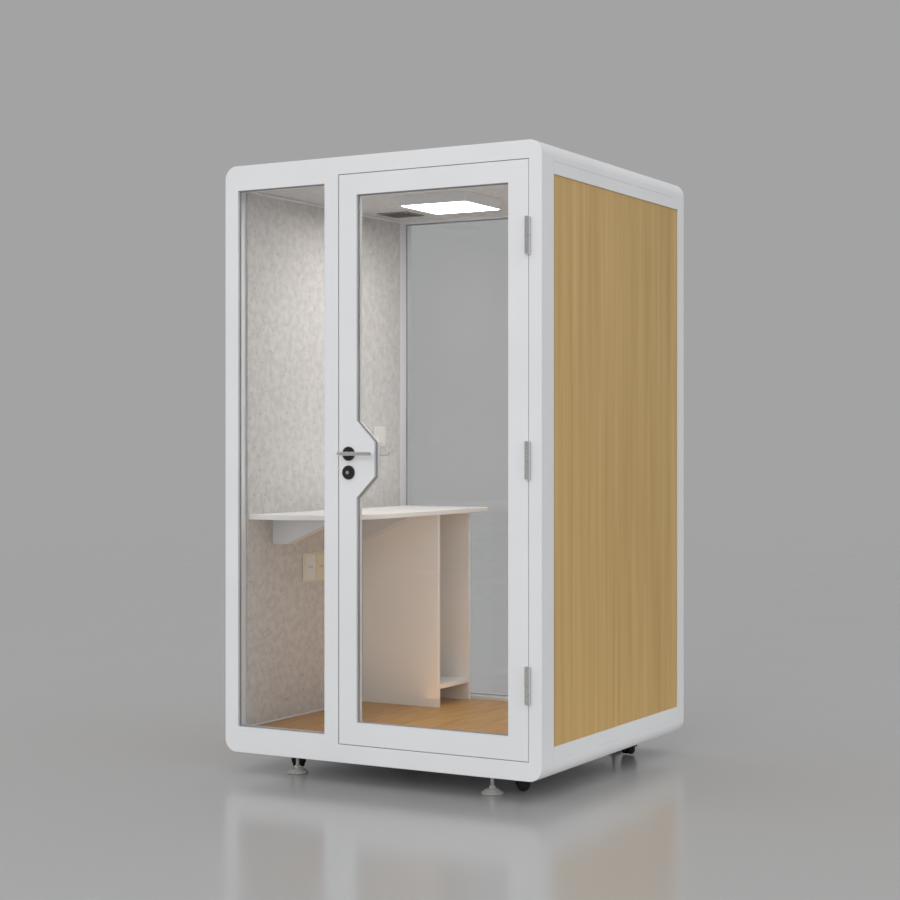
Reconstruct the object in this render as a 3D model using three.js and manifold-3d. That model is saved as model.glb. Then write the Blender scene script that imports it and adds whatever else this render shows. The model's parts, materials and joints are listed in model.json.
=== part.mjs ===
import * as THREE from 'three';
import { mergeVertices } from 'three/addons/utils/BufferGeometryUtils.js';
import Module from 'manifold-3d';

// Acoustic office pod: a free-standing glazed booth for one person, with a side desk.
// Millimetres, +Z up, floor at z = 0. The door side faces -Y and the desk is on the -X wall.

// Whole body
const bodyWidth = 1350;
const bodyDepth = 1290;
const overallHeight = 2307;
const cornerRadius = 50;
const seatGap = 0.3;

// Front frame, seen from the door side
const frontFrameDepth = 95;
const postWidth = 60;
const hingePostWidth = 49;
const mullionWidth = 60;
const fixedLightWidth = 393;
const headerHeight = 64;
const sillHeight = 66;
const fixedTopRail = 95;
const fixedBottomRail = 98;
const doorStopLap = 12;
const doorStopThickness = 10;

// Rear frame
const rearFrameDepth = 110;
const rearPostLip = 7;
const rearTopRail = 95;
const rearBottomRail = 98;
const rearEdgeRadius = 4;
const veneerLap = 45;

// Roof and base
const roofHeight = 67;
const roofRim = 75;
const roofSkin = 15;
const roofVentSlots = 5;
const roofVentSlotWidth = 8;
const roofVentSlotPitch = 20;
const baseHeight = 61;
const baseRim = 75;
const baseEndRim = 130;
const baseSkin = 15;
const baseRibWidth = 60;
const baseBays = 3;
const floorThickness = 24;
const ceilingThickness = 18;

// Side walls
const sideTopRail = 44;
const sideBottomRail = 50;
const sideStile = 40;
const veneerThickness = 15;
const veneerRecess = 4;
const feltThickness = 9;
const feltEdgeGap = 12.5;

// Glazing
const glassThickness = 8;
const gasketSetBack = 7;
const gasketDepth = 16;
const gasketWidth = 7;
const gasketHeel = 3;
const rearGlassSetBack = 43;

// Door leaf
const doorSeam = 3;
const doorThickness = 42;
const lockStile = 77;
const hingeStile = 79;
const doorTopRail = 77;
const doorBottomRail = 83;
const doorSealThickness = 2.4;
const doorSealWidth = 10;
const doorSealSideGap = 1;

// Lock block on the door and its fittings
const lockBlockHeight = 1194;
const lockBlockReach = 77;
const lockBlockStraight = 125;
const lockBlockLength = 281;
const lockBackset = 44;
const leverAboveBlock = 21;
const cylinderBelowBlock = 48;
const roseDiameter = 52;
const roseThickness = 9;
const leverLength = 143;
const leverTail = 20;
const leverDiameter = 14;
const leverStandOff = 49;
const leverNeckDiameter = 18;
const spindleSide = 8;
const spindleGrip = 14;
const innerPlateWidth = 50;
const innerPlateLength = 156;
const innerPlateThickness = 8;
const cylinderPlugDiameter = 17;
const cylinderPlugProud = 3;
const keySlotWidth = 2.4;
const keySlotHeight = 9;
const keySlotDepth = 8;
const turnKnobLength = 34;
const turnKnobWidth = 10;
const turnKnobHeight = 18;
const turnNeckDiameter = 14;
const boltThickness = 12;
const latchHeight = 14;
const latchLength = 26;
const latchThrow = 9;
const deadBoltHeight = 20;
const deadBoltLength = 24;
const deadBoltThrow = 14;
const boltRunOut = 3;

// Door hinges
const hingeEndInset = 266;
const hingeLength = 134;
const hingeBarrelRadius = 10;
const hingeBarrelProud = 1;
const hingePinRadius = 4.5;
const hingePinLength = 52;
const hingePlateThickness = 3;
const hingePlateGap = 0.6;
const hingePlateWidth = 36;
const knuckleGap = 0.4;

// Ceiling light and fan
const ledSide = 300;
const ledHeight = 40;
const ledX = -38;
const ledFromRear = 555;
const ledCornerRadius = 18;
const ledRim = 5;
const ledLedge = 10;
const ledDiffuserThickness = 3.5;
const ledBackThickness = 8;
const fanFromWall = 135;
const fanFromRear = 205;
const fanFlangeSide = 150;
const fanFlangeThickness = 4;
const fanBodySide = 124;
const fanBodyHeight = 46;
const fanBoreRadius = 56;
const fanGrilleThickness = 7;
const fanGrilleSlots = 8;
const fanGrilleSlotWidth = 6;
const fanGrillePitch = 12;
const fanPostRadius = 5;
const fanPostLength = 26;
const fanHubRadius = 18;
const fanBladeTipRadius = 53;
const fanBladeRoot = 2;
const fanBladeChord = 22;
const fanBladeThickness = 2;
const fanBladeAngle = 0.6;
const fanBlades = 7;
const fanHubCap = 3;

// Desk, its brackets and the cabinet below it
const deskHeight = 981;
const deskThickness = 20;
const deskReach = 414;
const deskEndGap = 5;
const deskSweep = 285;
const bracketThickness = 60;
const bracketDrop = 100;
const bracketFlat = 62;
const bracketReach = 290;
const frontBracketInset = 156;
const cabinetRearGap = 73;
const cabinetDepth = 278;
const cabinetReach = 366;
const cabinetPanel = 18;
const shelfAboveFloor = 93;

// Wall plates on the desk wall
const plateThickness = 8;
const switchSide = 86;
const switchFromRear = 223;
const switchAboveDesk = 303;
const rockerWidth = 44;
const rockerHeight = 60;
const rockerThickness = 5;
const rockerProud = 2.5;
const rockerClearance = 0.6;
const rockerTilt = 4;
const socketWidth = 172;
const socketHeight = 116;
const socketFromFront = 449;
const socketBelowDesk = 225;
const socketGangPitch = 80;
const socketSlotWidth = 3;
const socketSlotHeight = 10;
const socketSlotSpread = 12;
const socketSlotDepth = 5;

// Levelling feet
const footFromSide = 255;
const footFromFront = 115;
const footFromRear = 125;
const footPadRadius = 40;
const footRimHeight = 5;
const footConeHeight = 20;
const footNutRadius = 13;
const footNutHeight = 9;
const footStemRadius = 7;
const footStemEngagement = 40;

// Castors
const castorBesideFrontFoot = 56;
const castorBesideRearFoot = 88;
const castorInsideFrontFoot = 88;
const castorInsideRearFoot = 36;
const castorFloorGap = 3;
const castorWheelRadius = 25;
const castorWheelClearance = 14.7;
const castorWheelWidth = 44;
const castorWheelEdge = 4;
const castorTrail = 20;
const castorCheek = 4;
const castorCheekGap = 0.7;
const castorCheekRadius = 10;
const castorAxleRadius = 3;
const castorCrownRadius = 28;
const castorCrownHeight = 11;
const castorStemRadius = 5.5;
const castorStemLength = 30;
const frontLeftCastorSwivel = 210;
const frontRightCastorSwivel = 120;
const rearCastorSwivel = 0;

// Facets of round shapes, and how far a cutting shape runs past the face that it opens
const roundSides = 24;
const nutSides = 6;
const arcSteps = 8;
const overCut = 1;

// Places worked out from the sizes above
const left = -bodyWidth / 2;
const right = bodyWidth / 2;
const front = -bodyDepth / 2;
const back = bodyDepth / 2;
const castorAxleZ = castorFloorGap + castorWheelRadius;
const castorCrownZ = castorAxleZ + castorWheelRadius + castorWheelClearance;
const bodyLift = castorCrownZ + castorCrownHeight + seatGap;
const doorRebateDepth = doorThickness + doorSealThickness + 2 * seatGap;
const frontRailDepth = doorRebateDepth + doorStopThickness;
const roofBottom = overallHeight - roofHeight;
const baseTop = bodyLift + baseHeight;
const floorBottom = baseTop + seatGap;
const floorTop = floorBottom + floorThickness;
const ceilingTop = roofBottom - seatGap;
const ceilingBottom = ceilingTop - ceilingThickness;
const wallFrontY = front + frontFrameDepth;
const wallRearY = back - rearFrameDepth;
const cabinFrontY = front + frontRailDepth + seatGap;
const cabinRearY = wallRearY - seatGap;
const wallInnerX = right - postWidth;
const feltFaceX = wallInnerX - seatGap - feltThickness;

const fixedLeft = left + postWidth;
const fixedRight = fixedLeft + fixedLightWidth;
const doorwayLeft = fixedRight + mullionWidth;
const doorwayRight = right - hingePostWidth;
const doorwayBottom = bodyLift + sillHeight;
const doorwayTop = overallHeight - headerHeight;
const leafLeft = doorwayLeft + doorSeam;
const leafRight = doorwayRight - doorSeam;
const leafBottom = doorwayBottom + doorSeam;
const leafTop = doorwayTop - doorSeam;
const leafBack = front + doorThickness;

const hingeAxisX = doorwayRight - doorSeam / 2;
const hingeAxisY = front - hingeBarrelRadius - hingeBarrelProud;
const leverX = leafLeft + lockBackset;
const leverZ = lockBlockHeight + leverAboveBlock;
const cylinderZ = lockBlockHeight - cylinderBelowBlock;
const boltY = front + doorThickness / 2;
const leverReach = leverStandOff + leverDiameter / 2;
const deskUnderside = deskHeight - deskThickness;
const deskFrontY = cabinFrontY + deskEndGap;
const rearGasketFront = back - rearGlassSetBack - gasketDepth;
const deskRearY = rearGasketFront - deskEndGap;
const ledY = cabinRearY - ledFromRear;
const fanX = -wallInnerX + fanFromWall;
const fanY = cabinRearY - fanFromRear;
const footX = right - footFromSide;
const footFrontY = front + footFromFront;
const footRearY = back - footFromRear;
const castorFrontX = footX + castorBesideFrontFoot;
const castorRearX = footX + castorBesideRearFoot;
const castorFrontY = footFrontY + castorInsideFrontFoot;
const castorRearY = footRearY - castorInsideRearFoot;

const wasm = await Module();
wasm.setup();

// A closed geometry as a solid that can be joined and cut
function solid(geometry) {
  const bare = geometry.clone();
  bare.deleteAttribute('normal');
  bare.deleteAttribute('uv');
  const merged = mergeVertices(bare, 1e-4);
  const corners = merged.index.array;
  const triangles = [];
  for (let i = 0; i < corners.length; i += 3) {
    const [a, b, c] = [corners[i], corners[i + 1], corners[i + 2]];
    if (a !== b && b !== c && c !== a) {
      triangles.push(a, b, c);
    }
  }
  return new wasm.Manifold(new wasm.Mesh({
    numProp: 3,
    vertProperties: new Float32Array(merged.attributes.position.array),
    triVerts: new Uint32Array(triangles),
  }));
}

// A solid back as a geometry for a mesh
function surface(body) {
  const mesh = body.getMesh();
  const geometry = new THREE.BufferGeometry();
  geometry.setAttribute('position', new THREE.BufferAttribute(new Float32Array(mesh.vertProperties), 3));
  geometry.setIndex(new THREE.BufferAttribute(new Uint32Array(mesh.triVerts), 1));
  geometry.computeVertexNormals();
  return geometry;
}

const join = (...bodies) => bodies.reduce((sum, body) => sum.add(body));
const cut = (body, ...tools) => tools.reduce((rest, tool) => rest.subtract(tool), body);

// A box between low and high limits on each axis
function block([x0, x1], [y0, y1], [z0, z1]) {
  const geometry = new THREE.BoxGeometry(x1 - x0, y1 - y0, z1 - z0);
  geometry.translate((x0 + x1) / 2, (y0 + y1) / 2, (z0 + z1) / 2);
  return solid(geometry);
}

function extruded(shape, depth, curveSegments = arcSteps) {
  return new THREE.ExtrudeGeometry(shape, { depth, bevelEnabled: false, curveSegments });
}

// An outline in X and Z, made thick between two places on Y
function slabXZ(shape, [y0, y1]) {
  const geometry = extruded(shape, y1 - y0);
  geometry.rotateX(Math.PI / 2);
  geometry.translate(0, y1, 0);
  return solid(geometry);
}

// An outline in X and Y, made thick between two heights
function slabXY(shape, [z0, z1], steps = arcSteps) {
  const geometry = extruded(shape, z1 - z0, steps);
  geometry.translate(0, 0, z0);
  return solid(geometry);
}

// An outline in Y and Z, made thick between two places on X
function slabYZ(shape, [x0, x1]) {
  const geometry = extruded(shape, x1 - x0);
  const turn = new THREE.Matrix4();
  turn.makeBasis(new THREE.Vector3(0, 1, 0), new THREE.Vector3(0, 0, 1), new THREE.Vector3(1, 0, 0));
  geometry.applyMatrix4(turn);
  geometry.translate(x0, 0, 0);
  return solid(geometry);
}

// Round bars along each axis
function rodX(radius, [x0, x1], y, z) {
  const geometry = new THREE.CylinderGeometry(radius, radius, x1 - x0, roundSides);
  geometry.rotateZ(Math.PI / 2);
  geometry.translate((x0 + x1) / 2, y, z);
  return solid(geometry);
}

function rodY(radius, x, [y0, y1], z) {
  const geometry = new THREE.CylinderGeometry(radius, radius, y1 - y0, roundSides);
  geometry.translate(x, (y0 + y1) / 2, z);
  return solid(geometry);
}

function rodZ(radius, x, y, [z0, z1], sides = roundSides) {
  const geometry = new THREE.CylinderGeometry(radius, radius, z1 - z0, sides);
  geometry.rotateX(Math.PI / 2);
  geometry.translate(x, y, (z0 + z1) / 2);
  return solid(geometry);
}

// A profile of [radius, height] points turned about a vertical axis through the origin
function turnedZ(profile) {
  const geometry = new THREE.LatheGeometry(profile.map(([r, z]) => new THREE.Vector2(r, z)), roundSides);
  geometry.rotateX(Math.PI / 2);
  return solid(geometry);
}

// A rectangle with rounded corners, its own radius for the low and the high corners
function roundedRectangle([u0, u1], [v0, v1], lowRadius, highRadius) {
  const shape = new THREE.Shape();
  shape.moveTo(u0 + lowRadius, v0);
  shape.lineTo(u1 - lowRadius, v0);
  if (lowRadius > 0) {
    shape.absarc(u1 - lowRadius, v0 + lowRadius, lowRadius, -Math.PI / 2, 0);
  }
  shape.lineTo(u1, v1 - highRadius);
  if (highRadius > 0) {
    shape.absarc(u1 - highRadius, v1 - highRadius, highRadius, 0, Math.PI / 2);
  }
  shape.lineTo(u0 + highRadius, v1);
  if (highRadius > 0) {
    shape.absarc(u0 + highRadius, v1 - highRadius, highRadius, Math.PI / 2, Math.PI);
  }
  shape.lineTo(u0, v0 + lowRadius);
  if (lowRadius > 0) {
    shape.absarc(u0 + lowRadius, v0 + lowRadius, lowRadius, Math.PI, Math.PI * 1.5);
  }
  return shape;
}

const outline = (points) => points.map(([u, v]) => new THREE.Vector2(u, v));
const rectangle = ([u0, u1], [v0, v1]) => outline([[u0, v0], [u1, v0], [u1, v1], [u0, v1]]);

// Moves each edge of an anticlockwise outline inwards, with sharp corners
function inset(points, distance) {
  return points.map((point, i) => {
    const before = points[(i + points.length - 1) % points.length];
    const after = points[(i + 1) % points.length];
    const into = point.clone().sub(before).normalize();
    const away = after.clone().sub(point).normalize();
    const normal = new THREE.Vector2(-into.y - away.y, into.x + away.x);
    return point.clone().addScaledVector(normal, distance / (1 + into.dot(away)));
  });
}

function ring(outer, inner) {
  const shape = new THREE.Shape(outer);
  shape.holes.push(new THREE.Path(inner));
  return shape;
}

// Materials
function finish(color, roughness, metalness) {
  return new THREE.MeshStandardMaterial({ color, roughness, metalness });
}

const whiteCoat = () => finish(0xe3e5e8, 0.45, 0.0);
const whiteLaminate = () => finish(0xefece8, 0.5, 0.0);
const oakVeneer = () => finish(0xb8935c, 0.6, 0.0);
const greyFelt = () => finish(0xc2bebb, 0.95, 0.0);
const mineralWool = () => finish(0xa89a5c, 1.0, 0.0);
const woodFloor = () => finish(0xb0804a, 0.6, 0.0);
const blackRubber = () => finish(0x2b2b2d, 0.8, 0.0);
const blackMetal = () => finish(0x1b1b1d, 0.4, 0.6);
const blackPlastic = () => finish(0x202124, 0.55, 0.0);
const brushedSteel = () => finish(0xb9b9b6, 0.35, 0.9);
const zincSteel = () => finish(0x9d9b97, 0.4, 0.85);
const opalPanel = () => finish(0xfbfbf8, 0.6, 0.0);
const whitePlastic = () => finish(0xeeeeec, 0.4, 0.0);
function clearGlass() {
  const glass = finish(0xdfe8e8, 0.05, 0.0);
  glass.transparent = true;
  glass.opacity = 0.25;
  return glass;
}

const pod = new THREE.Group();
pod.position.y = leverReach / 2;

function piece(name, body, material, parent = pod) {
  const mesh = new THREE.Mesh(surface(body), material);
  mesh.name = name;
  parent.add(mesh);
}

// Front frame: a rounded ring with a fixed light, a rebated doorway, and lock and hinge recesses
function hingeHeights() {
  return {
    lower: leafBottom + hingeEndInset,
    middle: (leafBottom + leafTop) / 2,
    upper: leafTop - hingeEndInset,
  };
}

function makeFrontFrame() {
  const rebateY = front + doorRebateDepth;
  const through = [front - overCut, front + frontFrameDepth + overCut];
  const body = slabXZ(
    roundedRectangle([left, right], [bodyLift, overallHeight], cornerRadius, cornerRadius),
    [front, front + frontFrameDepth],
  );
  const sideLight = block([fixedLeft, fixedRight], through, fixedLightZ());
  const doorway = block([doorwayLeft, doorwayRight], [front - overCut, rebateY], [doorwayBottom, doorwayTop]);
  const stopOpening = block(
    [doorwayLeft + doorStopLap, doorwayRight - doorStopLap],
    through,
    [doorwayBottom + doorStopLap, doorwayTop - doorStopLap],
  );
  const cabinEnd = block(
    [-wallInnerX, wallInnerX],
    [front + frontRailDepth, front + frontFrameDepth + overCut],
    [baseTop, roofBottom],
  );
  const latchNotch = block(
    [doorwayLeft - latchThrow, doorwayLeft + overCut],
    [front - overCut, boltY + boltThickness / 2 + seatGap],
    [leverZ - latchHeight / 2 - seatGap, leverZ + latchHeight / 2 + seatGap],
  );
  const boltPocket = block(
    [doorwayLeft - deadBoltThrow, doorwayLeft + overCut],
    [boltY - boltThickness / 2 - seatGap, boltY + boltThickness / 2 + seatGap],
    [cylinderZ - deadBoltHeight / 2 - seatGap, cylinderZ + deadBoltHeight / 2 + seatGap],
  );
  const mortises = Object.values(hingeHeights()).map((z) => block(
    [doorwayRight - overCut, hingeAxisX + hingePlateGap / 2 + hingePlateThickness + seatGap],
    [front - overCut, front + hingePlateWidth + seatGap],
    [z - hingeLength / 2 - seatGap, z + hingeLength / 2 + seatGap],
  ));
  const openings = [sideLight, doorway, stopOpening, cabinEnd];
  piece('front_frame', cut(body, ...openings, latchNotch, boltPocket, ...mortises), whiteCoat());
}

function fixedLightZ() {
  return [bodyLift + fixedBottomRail, overallHeight - fixedTopRail];
}

function fixedLight() {
  return rectangle([fixedLeft, fixedRight], fixedLightZ());
}

// Rear frame: a rounded ring, softened at its rear edges and rebated for the veneer panels
function rearLight() {
  return [
    [rearPostLip - wallInnerX, wallInnerX - rearPostLip],
    [bodyLift + rearBottomRail, overallHeight - rearTopRail],
  ];
}

function veneerZ() {
  return [baseTop + sideBottomRail, roofBottom - sideTopRail];
}

function makeRearFrame() {
  const [lightX, lightZ] = rearLight();
  const [veneerBottom, veneerTop] = veneerZ();
  const body = slabXZ(
    roundedRectangle([left, right], [bodyLift, overallHeight], cornerRadius, cornerRadius),
    [wallRearY, back],
  );
  const softPlan = slabXY(
    roundedRectangle([left, right], [wallRearY - overCut, back], 0, rearEdgeRadius),
    [bodyLift - overCut, overallHeight + overCut],
  );
  const light = block(lightX, [wallRearY - overCut, back + overCut], lightZ);
  const veneerInnerX = right - veneerRecess - veneerThickness - seatGap;
  const rebateY = [wallRearY - overCut, wallRearY + veneerLap];
  const rebateZ = [veneerBottom, veneerTop];
  const leftRebate = block([left - overCut, -veneerInnerX], rebateY, rebateZ);
  const rightRebate = block([veneerInnerX, right + overCut], rebateY, rebateZ);
  piece('rear_frame', cut(body.intersect(softPlan), light, leftRebate, rightRebate), whiteCoat());
}

// Roof: a shallow inverted tray with rounded long edges, filled with wool, over a felt ceiling
function fanOpening(gap) {
  const half = fanBodySide / 2 + gap;
  return [[fanX - half, fanX + half], [fanY - half, fanY + half]];
}

function makeRoof() {
  const spanY = [wallFrontY + seatGap, wallRearY - seatGap];
  const pocketX = [left + roofRim, right - roofRim];
  const pocketY = [spanY[0] + roofRim, spanY[1] - roofRim];
  const pocketTop = overallHeight - roofSkin;
  const edgeRadius = Math.min(cornerRadius, roofHeight - roofSkin);
  const section = roundedRectangle([left, right], [roofBottom + seatGap, overallHeight], 0, edgeRadius);
  const shell = slabXZ(section, spanY);
  const pocket = block(pocketX, pocketY, [roofBottom, pocketTop]);
  const vents = [];
  for (let i = 0; i < roofVentSlots; i += 1) {
    const x = fanX + (i - (roofVentSlots - 1) / 2) * roofVentSlotPitch;
    vents.push(block(
      [x - roofVentSlotWidth / 2, x + roofVentSlotWidth / 2],
      [fanY - fanBoreRadius, fanY + fanBoreRadius],
      [pocketTop - overCut, overallHeight + overCut],
    ));
  }
  piece('roof_shell', cut(shell, pocket, ...vents), whiteCoat());

  const wool = block(
    [pocketX[0] + seatGap, pocketX[1] - seatGap],
    [pocketY[0] + seatGap, pocketY[1] - seatGap],
    [roofBottom, pocketTop - seatGap],
  );
  const fanHole = block(...fanOpening(seatGap), [ceilingBottom - overCut, overallHeight]);
  piece('roof_wool', cut(wool, fanHole), mineralWool());

  const ceiling = block(
    [-wallInnerX + seatGap, wallInnerX - seatGap],
    [cabinFrontY, cabinRearY],
    [ceilingBottom, ceilingTop],
  );
  piece('ceiling_panel', cut(ceiling, fanHole), greyFelt());
}

// Base: a ribbed chassis with rounded long edges, sockets for feet and castors, and the floor on top
const footPlaces = {
  front_left: [-footX, footFrontY],
  front_right: [footX, footFrontY],
  rear_left: [-footX, footRearY],
  rear_right: [footX, footRearY],
};
// The angle is how far each castor has swivelled from trailing towards the front
const castorPlaces = {
  front_left: [-castorFrontX, castorFrontY, frontLeftCastorSwivel],
  front_right: [castorFrontX, castorFrontY, frontRightCastorSwivel],
  rear_left: [-castorRearX, castorRearY, rearCastorSwivel],
  rear_right: [castorRearX, castorRearY, rearCastorSwivel],
};

function makeBase() {
  const spanY = [wallFrontY + seatGap, wallRearY - seatGap];
  const edgeRadius = Math.min(cornerRadius, baseHeight - seatGap);
  const body = slabXZ(roundedRectangle([left, right], [bodyLift, baseTop], edgeRadius, 0), spanY);
  const bayDepth = (spanY[1] - spanY[0] - 2 * baseEndRim - (baseBays - 1) * baseRibWidth) / baseBays;
  const bays = [];
  for (let i = 0; i < baseBays; i += 1) {
    const y = spanY[0] + baseEndRim + i * (bayDepth + baseRibWidth);
    const bayZ = [bodyLift + baseSkin, baseTop + overCut];
    bays.push(block([left + baseRim, right - baseRim], [y, y + bayDepth], bayZ));
  }
  const footSockets = Object.values(footPlaces).map(([x, y]) => rodZ(
    footStemRadius + seatGap, x, y, [bodyLift - overCut, bodyLift + footStemEngagement + seatGap]));
  const castorSockets = Object.values(castorPlaces).map(([x, y]) => rodZ(
    castorStemRadius + seatGap, x, y, [bodyLift - overCut, bodyLift + castorStemLength + seatGap]));
  piece('base_chassis', cut(body, ...bays, ...footSockets, ...castorSockets), whiteCoat());

  piece('floor_panel', block(
    [-wallInnerX + seatGap, wallInnerX - seatGap],
    [cabinFrontY, cabinRearY],
    [floorBottom, floorTop],
  ), woodFloor());
}

// Side walls: a stud ring, a veneered outer panel, a wool core and a felt lining
function makeSideWall(side, sign) {
  const spanX = (inner, outer) => (sign > 0 ? [inner, outer] : [-outer, -inner]);
  const spanY = [wallFrontY + seatGap, wallRearY - seatGap];
  const [veneerBottom, veneerTop] = veneerZ();
  const veneerOuterX = right - veneerRecess;
  const veneerInnerX = veneerOuterX - veneerThickness;
  const coreX = [wallInnerX, veneerInnerX - 2 * seatGap];
  const coreY = [spanY[0] + sideStile, spanY[1] - sideStile];

  const studs = block(spanX(wallInnerX, right), spanY, [baseTop + seatGap, roofBottom]);
  const panelSeat = block(
    spanX(veneerInnerX - seatGap, right + overCut),
    [spanY[0] - overCut, spanY[1] + overCut],
    [veneerBottom, veneerTop],
  );
  const hollow = block(spanX(wallInnerX - overCut, right), coreY, [veneerBottom, veneerTop]);
  piece(`${side}_wall_frame`, cut(studs, panelSeat, hollow), whiteCoat());

  piece(`${side}_veneer_panel`, block(
    spanX(veneerInnerX, veneerOuterX),
    [wallFrontY + seatGap, wallRearY + veneerLap - seatGap],
    [veneerBottom + seatGap, veneerTop - seatGap],
  ), oakVeneer());

  piece(`${side}_wool_core`, block(
    spanX(...coreX),
    [coreY[0] + seatGap, coreY[1] - seatGap],
    [veneerBottom + seatGap, veneerTop - seatGap],
  ), mineralWool());

  piece(`${side}_felt_panel`, block(
    spanX(feltFaceX, feltFaceX + feltThickness),
    [cabinFrontY, cabinRearY],
    [floorTop + feltEdgeGap, ceilingBottom - feltEdgeGap],
  ), greyFelt());
}

// Glazing: a pane held round its edge by a grooved rubber gasket
function makeGlazing(paneName, gasketName, opening, gasketFront) {
  const gasketY = [gasketFront, gasketFront + gasketDepth];
  const paneFront = gasketFront + (gasketDepth - glassThickness) / 2;
  const paneY = [paneFront, paneFront + glassThickness];
  const rubber = slabXZ(ring(inset(opening, seatGap), inset(opening, gasketWidth)), gasketY);
  const groove = slabXZ(
    new THREE.Shape(inset(opening, gasketHeel - seatGap)),
    [paneY[0] - seatGap, paneY[1] + seatGap],
  );
  piece(gasketName, cut(rubber, groove), blackRubber());
  piece(paneName, slabXZ(new THREE.Shape(inset(opening, gasketHeel)), paneY), clearGlass());
}

// Door: a leaf frame whose lock stile widens into a six-sided lock block
function doorLight() {
  const lightLeft = leafLeft + lockStile;
  const lightRight = leafRight - hingeStile;
  const lightBottom = leafBottom + doorBottomRail;
  const lightTop = leafTop - doorTopRail;
  const blockX = lightLeft + lockBlockReach;
  return outline([
    [lightLeft, lightBottom],
    [lightRight, lightBottom],
    [lightRight, lightTop],
    [lightLeft, lightTop],
    [lightLeft, lockBlockHeight + lockBlockLength / 2],
    [blockX, lockBlockHeight + lockBlockStraight / 2],
    [blockX, lockBlockHeight - lockBlockStraight / 2],
    [lightLeft, lockBlockHeight - lockBlockLength / 2],
  ]);
}

function makeDoorLeaf() {
  const leafY = [front, leafBack];
  const through = [front - overCut, leafBack + overCut];
  const leaf = slabXZ(ring(rectangle([leafLeft, leafRight], [leafBottom, leafTop]), doorLight()), leafY);
  const spindleBore = rodY(leverNeckDiameter / 2 + seatGap, leverX, through, leverZ);
  const cylinderBore = rodY(cylinderPlugDiameter / 2 + seatGap, leverX, through, cylinderZ);
  const boltBore = (height, z, length) => block(
    [leafLeft - overCut, leafLeft + length],
    [boltY - boltThickness / 2 - seatGap, boltY + boltThickness / 2 + seatGap],
    [z - height / 2 - seatGap, z + height / 2 + seatGap],
  );
  const latchBore = boltBore(latchHeight, leverZ, latchLength + boltRunOut);
  const deadBoltBore = boltBore(deadBoltHeight, cylinderZ, deadBoltLength + boltRunOut);
  const mortises = Object.values(hingeHeights()).map((z) => block(
    [hingeAxisX - hingePlateGap / 2 - hingePlateThickness - seatGap, leafRight + overCut],
    [front - overCut, front + hingePlateWidth + seatGap],
    [z - hingeLength / 2 - seatGap, z + hingeLength / 2 + seatGap],
  ));
  piece('door_leaf', cut(leaf, spindleBore, cylinderBore, latchBore, deadBoltBore, ...mortises), whiteCoat());
  makeGlazing('door_glass', 'door_glass_gasket', doorLight(), front + gasketSetBack);

  const stop = rectangle([doorwayLeft, doorwayRight], [doorwayBottom, doorwayTop]);
  piece('door_seal', slabXZ(
    ring(inset(stop, doorSealSideGap), inset(stop, doorSealSideGap + doorSealWidth)),
    [leafBack + seatGap, front + doorRebateDepth - seatGap],
  ), blackRubber());
}

// Lever set: a straight bar on each side of the door, on one square spindle
function leverBar(faceY, outward) {
  const barY = faceY + outward * leverStandOff;
  const barX = [leverX - leverTail, leverX - leverTail + leverLength];
  const span = (a, b) => [Math.min(a, b), Math.max(a, b)];
  const neck = rodY(leverNeckDiameter / 2, leverX, span(faceY, barY), leverZ);
  return join(rodX(leverDiameter / 2, barX, barY, leverZ), neck);
}

function makeLever() {
  const half = spindleSide / 2;
  const spindle = block(
    [leverX - half, leverX + half],
    [front - spindleGrip, leafBack + spindleGrip],
    [leverZ - half, leverZ + half],
  );
  const socketHalf = half + seatGap;
  const socket = block(
    [leverX - socketHalf, leverX + socketHalf],
    [leafBack - overCut, leafBack + spindleGrip + seatGap],
    [leverZ - socketHalf, leverZ + socketHalf],
  );
  piece('outer_lever', join(leverBar(front, -1), spindle), brushedSteel());
  piece('inner_lever', cut(leverBar(leafBack, 1), socket), brushedSteel());

  const roseY = [front - seatGap - roseThickness, front - seatGap];
  const rose = rodY(roseDiameter / 2, leverX, roseY, leverZ);
  const holeY = [roseY[0] - overCut, roseY[1] + overCut];
  const neckHole = rodY(leverNeckDiameter / 2 + seatGap, leverX, holeY, leverZ);
  piece('outer_rose', cut(rose, neckHole), blackMetal());
}

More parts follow.
